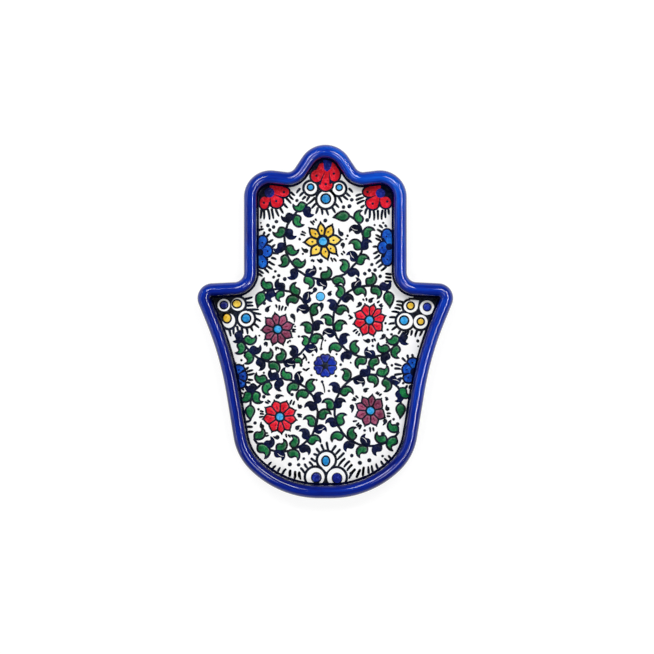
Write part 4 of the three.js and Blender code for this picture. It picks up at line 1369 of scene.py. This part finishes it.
def build_eyes(name, eyes):
    bands = Shape()
    outer = [oval(middle, wide + BAND, high + BAND) for middle, wide, high, *_ in eyes]
    whites = [oval(middle, wide, high) for middle, wide, high, *_ in eyes]
    for middle, wide, _, point, *_ in eyes:
        if point:
            outer.append(spur(middle, wide, point, BAND))
            whites.append(spur(middle, wide, point))
    if len(eyes) in JOINED:
        outer.append([Vector(eyes[i][0]) for i in JOINED[len(eyes)]])
    # Painted shade: a corner's dark plate joins the bands
    if name in CORNER_SHADE_PLATES:
        outer.append(CORNER_SHADE_PLATES[name])
    bands.plate(outer, BAND_TOP, whites)
    for i, (_, _, _, _, place, wide, high, finish) in enumerate(eyes):
        band = BLUE_IRIS_BAND if finish == RIM_BLUE else IRIS_BAND
        bands.flat(oval(place, wide + band, high + band), BAND_TOP)
        iris = Shape()
        iris.fill(oval(place, wide, high), IRIS_TOP)
        iris.piece(f"eye_{name}_{i + 1}", finish, f"iris_{name}_{i + 1}")
    bands.piece(f"eye_lines_{name}", INK, f"eye_bands_{name}")


for group, eyes in EYE_GROUPS:
    build_eyes(group, eyes)


# Dots, commas, ticks and lashes

# Dots as (x, y, radius), and strokes as the places of their two ends
DOTS = [
    (-13.3, 56.7, 0.71), (-22.9, 46.8, 0.77), (0, 47.3, 0.83), (8.5, 53.6, 0.77), (11.3, 54, 0.89),
    (12.4, 57, 0.77), (19.6, 47.5, 0.83), (21.8, 26.7, 0.71), (20.6, 24, 0.77), (18.5, 22.4, 0.77),
    (-2.3, 24.8, 0.65), (-21.8, 21.5, 0.71), (-19, 19.9, 0.83), (-12, 38.6, 0.59),
    (10.4, 40.2, 0.54), (9.8, 38.7, 0.48), (-23.4, 23.5, 0.59), (23.1, 45.2, 0.48),
    (-10.5, 31.7, 0.48), (-24.2, 20.8, 0.65), (-28.6, 8.5, 0.71), (-14.2, -2.3, 0.42),
    (-12.4, -7, 0.54), (-39.3, -18.1, 0.54), (-5.9, -15.7, 0.48), (-7.8, -19.2, 0.48),
    (-11.3, -20.6, 0.59), (-28.8, -24, 0.48), (0, -8.9, 0.42), (-30.9, -6.6, 0.42),
    (23.3, 24.1, 0.77), (25.7, 21.2, 0.77), (28.2, -0.8, 0.54), (29.2, -3.8, 0.54), (31, -6, 0.59),
    (28.8, -9.8, 0.48), (22.2, -11.4, 0.54), (5.3, -15.3, 0.48), (11.9, -19.3, 0.42),
    (7.2, -20.2, 0.59), (31.2, -20.5, 0.59), (-6.5, -25.1, 0.48), (-4.1, -27.4, 0.48),
    (1.7, -32.5, 0.54), (-15.6, -34.2, 0.71), (-28.8, -35.2, 0.77), (-31.3, -41.1, 0.54),
    (-32.9, -47.5, 0.71), (-8.9, -18.1, 0.36), (-13.2, -18, 0.36), (-10.1, -64.2, 0.59),
    (4.9, -25.5, 0.59), (32, -45.8, 0.59), (33.9, -48, 0.77), (27, -52.6, 0.83), (18.4, -51, 0.59),
    (-26.9, 45, 0.8), (-24.2, 44.3, 0.77), (-26, 42.9, 0.75), (-30.2, 46.2, 0.36),
    (-29.9, 44.4, 0.5), (-28.6, 41.7, 0.5), (27.1, 46.2, 0.5), (43.3, -9.1, 0.68),
    (43.5, -11.6, 0.39), (-16.6, -66.9, 0.86), (-12.5, -67.1, 0.76), (-18.7, -69.3, 0.52),
    (12.4, -62.8, 0.76), (16.2, -66.2, 0.9), (20.6, -65, 0.89), (26.8, -63, 0.57),
    (-3.1, 61.2, 0.45),
]
COMMAS = [
    (7.6, 40.9, 6.3, 43.5), (8.1, 36.1, 8.1, 34.3), (-8.9, 33.1, -11, 34.6), (-2, 28.4, -3.8, 29.1),
    (-27.3, 5.3, -25.7, 7.3), (-15.5, 2.8, -14.5, -0.2), (-27.9, -10.4, -27.4, -11.6),
    (-4.8, 15.1, -6.2, 13.5), (2, 12.9, 2.9, 14.2), (-1.9, 8, -2.3, 4.7), (-2, -12.8, -1.1, -8.3),
    (16.2, 8.3, 14.6, 6.8), (21.1, 9.6, 22.7, 11), (27.4, -6.7, 25.6, -8.2), (20.2, -9, 17.9, -8.5),
    (-22.6, -35.3, -19.6, -34.9), (-29.6, -49.2, -30, -47.1), (-13.2, -49.9, -11.6, -48.9),
    (-22.4, -54.2, -24.3, -53.9), (-11.8, -39.9, -12.7, -38.8), (-1.5, -28.2, -0.3, -33.1),
    (18.7, -32.3, 20.3, -31.4), (12.4, -39.7, 12.3, -42.5), (29.1, -40.9, 28.8, -39.1),
    (28, -46.5, 27, -48.5),
]
TICKS = [
    (-6.8, 46.8, -5.5, 45.3), (-5.6, 47.1, -5, 46.5), (-4.6, 47.9, -4.1, 47.3),
    (-10.8, 42.1, -9.2, 41.3), (-11.3, 40.9, -9.6, 40.3), (-6.5, 28.5, -5.9, 29.1),
    (-5.6, 28.2, -5.3, 28.8), (2.7, 29.7, 3.5, 28.1), (4.1, 29.4, 5.1, 28.2), (8.5, 32.8, 9.1, 32),
    (7.6, 31.8, 8.2, 31.2), (5.1, 32.2, 6, 30.6), (-23.1, 7.7, -22.7, 6.5),
    (-21.5, 7.4, -21.7, 5.2), (-19.9, 7.1, -20.6, 5.2), (-18.4, 6.7, -18.9, 5.2),
    (-15.4, -3.7, -13.9, -3.8), (-15.4, -4.6, -14.1, -4.9), (-17.6, -9.9, -17.3, -9.2),
    (-16.6, -8.9, -16.4, -9.4), (-23.1, -12.1, -23, -13.4), (-22.5, -12.2, -21.8, -12.8),
    (-10.3, -15.3, -8.7, -17.9), (-9.7, -16.5, -10.9, -18), (-10.3, -22.2, -9, -22.9),
    (-9, -22.9, -7.5, -21.9), (17.7, 10.4, 18.1, 9.9), (19.2, 10.7, 19.3, 9.8),
    (24.5, 8.9, 25.3, 9.6), (25.4, 7.5, 26.5, 8.3), (26, 7, 26.9, 7.4), (11.1, 2.9, 12.6, 1.9),
    (12.6, 1.9, 11.2, 1.2), (13.2, -4.6, 14.6, -3.7), (14.4, -5.5, 15.3, -4.5),
    (15.6, -6.4, 16.1, -5.5), (22, -8.5, 22.3, -9.5), (22.9, -8.2, 23.5, -9.1),
    (26.3, 23.9, 27.7, 24.8), (28.4, 22.4, 30.5, 22), (28.4, 20.8, 30.5, 20.5),
    (28.1, 18.8, 30.5, 18.7), (-27.9, -37.7, -26.6, -38.3), (-26.9, -37, -25.8, -37.7),
    (-16.5, -38.5, -15.7, -36.8), (-15.1, -38.8, -14.5, -37.3), (-12.9, -43.5, -11.1, -43.7),
    (-12.5, -44.4, -11.1, -44.7), (-30.3, -41.9, -29, -42.2), (-30.3, -43.2, -28.8, -43.4),
    (-30.7, -44.8, -29.1, -44.5), (-28.2, -52.3, -27, -52.3), (-27.8, -53.6, -26.6, -53.3),
    (-18.4, -52.9, -18.1, -54.2), (-17.2, -53.2, -16.5, -54.2), (-36.2, -49.2, -34.2, -49.5),
    (-35.8, -51.8, -33.9, -51.7), (12.7, -36.7, 14.2, -37), (13.3, -35.8, 14.5, -36.4),
    (14.4, -34.9, 15.4, -35.8), (23.9, -33.6, 24.5, -32.9), (24.5, -34, 25.2, -33.4),
    (25.4, -34.6, 26.3, -34), (28.3, -35.7, 29.1, -35.8), (28.5, -36.7, 29.4, -36.4),
    (29.1, -43, 30.6, -43.1), (29.1, -44.3, 30.3, -44.4), (13.2, -46.7, 14.7, -46.5),
    (14.7, -48.5, 15.7, -47.4), (15.4, -49.2, 16.5, -48.3), (16, -50.2, 16.9, -48.6),
    (20.9, -49.8, 21.1, -51.6), (22.4, -49.9, 22.7, -51.3),
]
LASHES = [
    (-12, 62.1, -13.4, 60.3), (-10.6, 60.2, -12, 58.7), (-9.4, 58.4, -10.7, 57.2),
    (-7.6, 58.4, -8.7, 56.5), (-5, 57.9, -8, 55.2), (-4.4, 55.2, -6.3, 53.1),
    (-3.6, 53.1, -4.4, 50.7), (-1.7, 52.8, -1.4, 50.2), (0.4, 52.6, 1.4, 49.9),
    (3.3, 53.2, 4.6, 51), (4.5, 55.4, 6.3, 53.5), (6.4, 58.1, 7.8, 55.7), (8.8, 58.5, 10.5, 57.1),
    (10, 60, 11.6, 58.7), (11.2, 62.2, 12.7, 60.6), (-30, 52.1, -30.3, 48.4),
    (-28.8, 52.1, -28.7, 48.1), (-26.9, 52.4, -26.1, 47.9), (-25.1, 52.6, -24.3, 48.3),
    (-23.1, 52.3, -21.8, 49.4), (-21, 52.9, -19.8, 50.8), (-19.4, 55.1, -17.7, 53.3),
    (-18.2, 57.7, -16.1, 55.4), (-16.7, 58.8, -15.1, 57.2), (-15.9, 60.4, -14.4, 59.1),
    (14.6, 58.9, 16.9, 59.7), (14.6, 57, 17.9, 58.2), (15.1, 55.3, 18.2, 56.7),
    (16.9, 53.5, 18.2, 54.4), (19.3, 52.6, 18.6, 50.3), (20.8, 51.9, 20.6, 48.4),
    (22.7, 51.7, 22.8, 47.6), (24.6, 51.9, 24.7, 47.9), (26.8, 52, 26.4, 47.9),
    (28.1, 52, 28.2, 48.7), (29.6, 52.2, 29.8, 50.3), (-31.3, 42.7, -29.1, 43.3),
    (-28.9, 40.9, -28.4, 41.8), (-27.5, 39.6, -26.2, 40.9), (-26.3, 37.1, -24.6, 38.3),
    (-25, 34.8, -23.6, 36), (-24.6, 32.1, -22.1, 31.7), (-25, 29.8, -23.2, 29.2),
    (-26.3, 28, -23.8, 26.5), (-27, 25.8, -25, 24.5), (-28.4, 24.6, -26.6, 22.9),
    (-30.9, 23.9, -29, 22.6), (-31, 22.3, -29.6, 21.3), (25.5, 45, 26.8, 43.9),
    (28.1, 45, 28.7, 44.4), (26.4, 41.9, 24.4, 43.1), (25.8, 39.4, 23.7, 40.6),
    (25.7, 38.1, 23.6, 39), (23.8, 35.1, 22.4, 35), (24.3, 32.6, 22.6, 31.8), (25.2, 31, 23, 29.5),
    (26, 28.9, 23.8, 27.1), (26.6, 26.8, 24.8, 25.4), (28.4, 25.7, 26.2, 23.8),
    (30.6, 22.1, 28.5, 22.5), (30.6, 20.5, 28.4, 20.7), (30.7, 18.7, 28, 18.9),
    (-37.3, 10.6, -34.3, 11.4), (-36.8, 8.9, -34.2, 9), (-36.4, 7.4, -33.9, 7.4),
    (-36.6, 5.4, -31.4, 5.6), (-33.9, 4.2, -30.2, 3.4), (-32.4, 1.3, -30.4, 0.1),
    (-33.2, -1.1, -31.2, -2.8), (-34.8, -2.4, -34, -4.3), (-36.9, -3, -36.4, -5.7),
    (-39.1, -3, -38.6, -5.5), (-45, -3.9, -44.3, -6.7), (-41.3, -2.4, -39.1, -8.3),
    (-43, -3.3, -43, -5.8), (36.2, 9.1, 33.4, 9.5), (35.7, 7.5, 33.4, 7.9), (35, 5.9, 32.6, 6.4),
    (34.4, 4.2, 31.2, 4.7), (32.6, 2, 30.1, 2), (32.2, -0.8, 29.8, -1.2), (33, -2.6, 31.2, -3.9),
    (35, -4.5, 34.2, -5.8), (37.6, -4.6, 37.1, -5.8), (38.9, -4.6, 38, -6.4),
    (40.5, -4.4, 40.1, -6.4), (43, -4.2, 42.1, -7.1), (45.3, -4.2, 44.2, -6.7),
    (-16.4, -69.8, -16.8, -71.9), (-14.1, -70.4, -14.1, -73.1), (-12.2, -70.7, -11.6, -73.8),
    (-11.4, -68.7, -9.7, -71), (-9.6, -66.9, -8.3, -68.8), (-7.3, -65.9, -5.8, -67.4),
    (-6.5, -64.2, -4.3, -65.7), (-5.2, -62.1, -3.3, -63.1), (-4, -59.6, -2.3, -61.7),
    (-1.8, -57.8, -0.4, -60.5), (0.7, -56.7, 1.5, -60.3), (4.8, -58.3, 2.9, -61),
    (6.8, -60, 4.6, -62.4), (8.6, -61.7, 5.7, -64.6), (9, -64.3, 6.2, -67.6),
    (11.2, -65.5, 8.8, -68.1), (12.4, -67.2, 10.2, -69.8), (13.8, -69.3, 11.2, -73.4),
    (16.2, -69.5, 14.7, -72.6), (18, -68.4, 17.6, -71.7), (-42.9, -19.7, -41.9, -19.4),
    (-41.4, -21.4, -40.4, -20), (-39.1, -21.5, -38.2, -20.2), (-37.4, -22.4, -36.1, -21.5),
    (-36.4, -23.4, -34, -22.7), (-35.9, -24.9, -33.4, -24.3), (-35.9, -27.2, -34, -27.4),
    (-36.5, -28.5, -35.2, -28.8), (-38, -30.1, -37.1, -30.9), (-39.5, -31, -38.2, -32.1),
    (-39.4, -33.6, -38.5, -33.7), (36.2, -17.2, 37.6, -18.7), (38.5, -15.9, 39, -17.7),
    (40.7, -15.6, 41.1, -17.1), (32.8, -19.9, 35.5, -20.7), (32.7, -22, 35.3, -22.3),
    (32.7, -25, 36.2, -24.5), (34.4, -26.9, 36.8, -26.5), (36.4, -29, 36.8, -28.4),
    (37.9, -30.9, 38.3, -29.9), (39.5, -31.1, 39.6, -29.9), (-36.9, -47, -35.3, -46.6),
    (-36.5, -49.3, -34.2, -49.3), (-35.8, -51.6, -33.9, -51.6), (-27, -67.8, -25.3, -65.9),
    (-24.6, -68.9, -23.3, -67.6), (-22.1, -70, -21.2, -68.4), (-20, -71.2, -18.7, -69.2),
    (-16.7, -72.3, -16.4, -69.9), (-14.3, -73.2, -14.1, -70.4), (-12.1, -72.7, -12.4, -70.7),
    (30.4, -63.9, 29.6, -62.8), (29.2, -65.4, 27.8, -64.2), (26.9, -66.8, 26.1, -65.4),
    (24.5, -68.7, 23.8, -66.7), (22.2, -70.2, 21.7, -67.5), (20.3, -70.9, 20.1, -68),
    (17.6, -72, 17.9, -68.5), (14.7, -72.8, 15.9, -69.7), (11.7, -71.2, 13.7, -69.4),
    (11.5, -68, 12.4, -67.1),
]
DOT_WIDE, DOT_HIGH, DOT_STEPS = 1.2, 1.12, 16
DOT_TILTS = (47, 31)
# A comma is fat at its start. One longer than this is a pin: an even line with a round head.
PIN_LENGTH = 4
COMMA_WIDTHS = [2.3 * share for share in (1, 0.9, 0.68, 0.48, 0.36, 0.24)]
PIN_WIDTHS = [0.75 * share for share in (1, 1, 1, 0.95, 0.9, 0.7)]
COMMA_BEND, PIN_BEND = 0.14, 0.05
PIN_HEAD = 0.72
TICK_WIDTH, LASH_WIDTH = 1.02, 1.22
STROKE_SHARES = (1.02, 1, 0.98, 0.9, 0.66)
STROKE_BEND, STROKE_BENDS = 0.05, (3.7, 2.3)
DROP_PLACE, DROP_RADIUS, DROP_LINE_RADIUS = (-2.3, 11.7), 1.9, 2.25


def build_marks():
    dots, commas, ticks, lashes, drop = (Shape() for _ in range(5))
    for x, y, radius in DOTS:
        tilt = DOT_TILTS[0] * x + DOT_TILTS[1] * y
        outline = oval((x, y), radius * DOT_WIDE, radius * DOT_HIGH, DOT_STEPS, tilt)
        if near_edge(outline):
            dots.flat(outline, CUT_DOT_TOP)
        else:
            dots.pillow(outline, DOT_TOP)
    for x, y, to_x, to_y in COMMAS:
        head, end = Vector((x, y)), Vector((to_x, to_y))
        pin = (end - head).length > PIN_LENGTH
        if pin:
            commas.pillow(oval(head, PIN_HEAD, PIN_HEAD, DOT_STEPS))
        widths = PIN_WIDTHS if pin else COMMA_WIDTHS
        spine = bent(head, end, PIN_BEND if pin else COMMA_BEND, len(widths) - 1)
        commas.flat(stroke_outline(spine, widths), COMMA_TOP)
    for strokes, shape, width in ((TICKS, ticks, TICK_WIDTH), (LASHES, lashes, LASH_WIDTH)):
        for x, y, to_x, to_y in strokes:
            bend = STROKE_BEND * math.sin(STROKE_BENDS[0] * x + STROKE_BENDS[1] * y)
            spine = bent((x, y), (to_x, to_y), bend, len(STROKE_SHARES) - 1)
            widths = [width * share for share in STROKE_SHARES]
            shape.flat(stroke_outline(spine, widths), STROKE_TOP)
    dots.flat(oval(DROP_PLACE, DROP_LINE_RADIUS))
    drop.pillow(oval(DROP_PLACE, DROP_RADIUS, steps=EYE_STEPS), DROP_TOP)
    dots.piece("marks_dots", INK)
    commas.piece("marks_commas", INK)
    ticks.piece("marks_ticks", INK)
    lashes.piece("marks_lashes", INK)
    drop.piece("turquoise_drop", TURQUOISE, "turquoise_spot")


build_marks()


# Floor, light and camera, in metres and watts

GROUND_HALF_SIDE = 4.0
GROUND_GREY = 0.2
GROUND_GLOW = 0.86
WORLD_GREY = 0.15
# Lamps as (name, place, target, size, power, whether they light the dish and the floor or only
# show in reflections)
BOX_SIZE = (0.35, 0.35)
LAMPS = [
    ("strip_right", (0.68, 0.03, 0.8), (0, 0.03, 0.01), (1.2, 0.055), 15, False),
    ("strip_left", (-1.0, 0.03, 0.2), (-0.04, 0.03, 0.01), (1.2, 0.08), 2.2, False),
    ("box_1", (0.3, 0.52, 1.3), (0, 0, 0), BOX_SIZE, 7.4, True),
    ("box_2", (-0.3, 0.52, 1.3), (0, 0, 0), BOX_SIZE, 7.4, True),
    ("box_3", (-0.42, -0.42, 1.3), (0, 0, 0), BOX_SIZE, 3.2, True),
    ("box_4", (0.42, -0.42, 1.3), (0, 0, 0), BOX_SIZE, 3.2, True),
]
CAMERA_PLACE = (0.00079, -0.00256, 2.014)
CAMERA_LENS, CAMERA_SENSOR, CAMERA_FAR = 236, 36, 50


def build_ground():
    """A pale floor that glows for the camera and in reflections, and keeps the dish's shadow."""
    side = GROUND_HALF_SIDE
    mesh = bpy.data.meshes.new("ground")
    corners = [(-side, -side, 0), (side, -side, 0), (side, side, 0), (-side, side, 0)]
    mesh.from_pydata(corners, [], [(0, 1, 2, 3)])
    material = bpy.data.materials.new("pale_ground")
    material.use_nodes = True
    tree = material.node_tree
    tree.nodes.clear()
    diffuse, glow, rays, both, out, either, any_ray, level = (
        tree.nodes.new("ShaderNode" + kind) for kind in (
            "BsdfDiffuse", "Emission", "LightPath", "AddShader", "OutputMaterial",
            "Math", "Math", "Math",
        )
    )
    diffuse.inputs["Color"].default_value = (GROUND_GREY, GROUND_GREY, GROUND_GREY, 1)
    either.operation = any_ray.operation = "MAXIMUM"
    level.operation = "MULTIPLY"
    level.inputs[1].default_value = GROUND_GLOW
    for source, target in (
        (rays.outputs["Is Camera Ray"], either.inputs[0]),
        (rays.outputs["Is Glossy Ray"], either.inputs[1]),
        (either.outputs[0], any_ray.inputs[0]),
        (rays.outputs["Is Transmission Ray"], any_ray.inputs[1]),
        (any_ray.outputs[0], level.inputs[0]),
        (level.outputs[0], glow.inputs["Strength"]),
        (diffuse.outputs[0], both.inputs[0]),
        (glow.outputs[0], both.inputs[1]),
        (both.outputs[0], out.inputs["Surface"]),
    ):
        tree.links.new(source, target)
    mesh.materials.append(material)
    placed("ground", mesh)


def build_world():
    """An even, dim studio all round."""
    world = bpy.data.worlds.new("studio")
    bpy.context.scene.world = world
    world.use_nodes = True
    background = world.node_tree.nodes["Background"]
    background.inputs["Color"].default_value = (WORLD_GREY, WORLD_GREY, WORLD_GREY, 1)


def build_lamp(name, place, target, size, power, lights):
    light = bpy.data.lights.new(name, "AREA")
    light.shape = "RECTANGLE"
    light.size, light.size_y = size
    light.energy = power
    lamp = placed(name, light)
    lamp.location = place
    lamp.rotation_euler = (Vector(target) - Vector(place)).to_track_quat("-Z", "Y").to_euler()
    lamp.visible_diffuse = lights


def build_camera():
    """A camera straight above, as in the photograph."""
    camera = bpy.data.cameras.new("camera")
    camera.lens = CAMERA_LENS
    camera.sensor_width = CAMERA_SENSOR
    camera.clip_end = CAMERA_FAR
    view = placed("camera", camera)
    view.location = CAMERA_PLACE
    bpy.context.scene.camera = view


build_ground()
build_world()
for lamp in LAMPS:
    build_lamp(*lamp)
build_camera()
bpy.context.scene.view_settings.view_transform = "Standard"
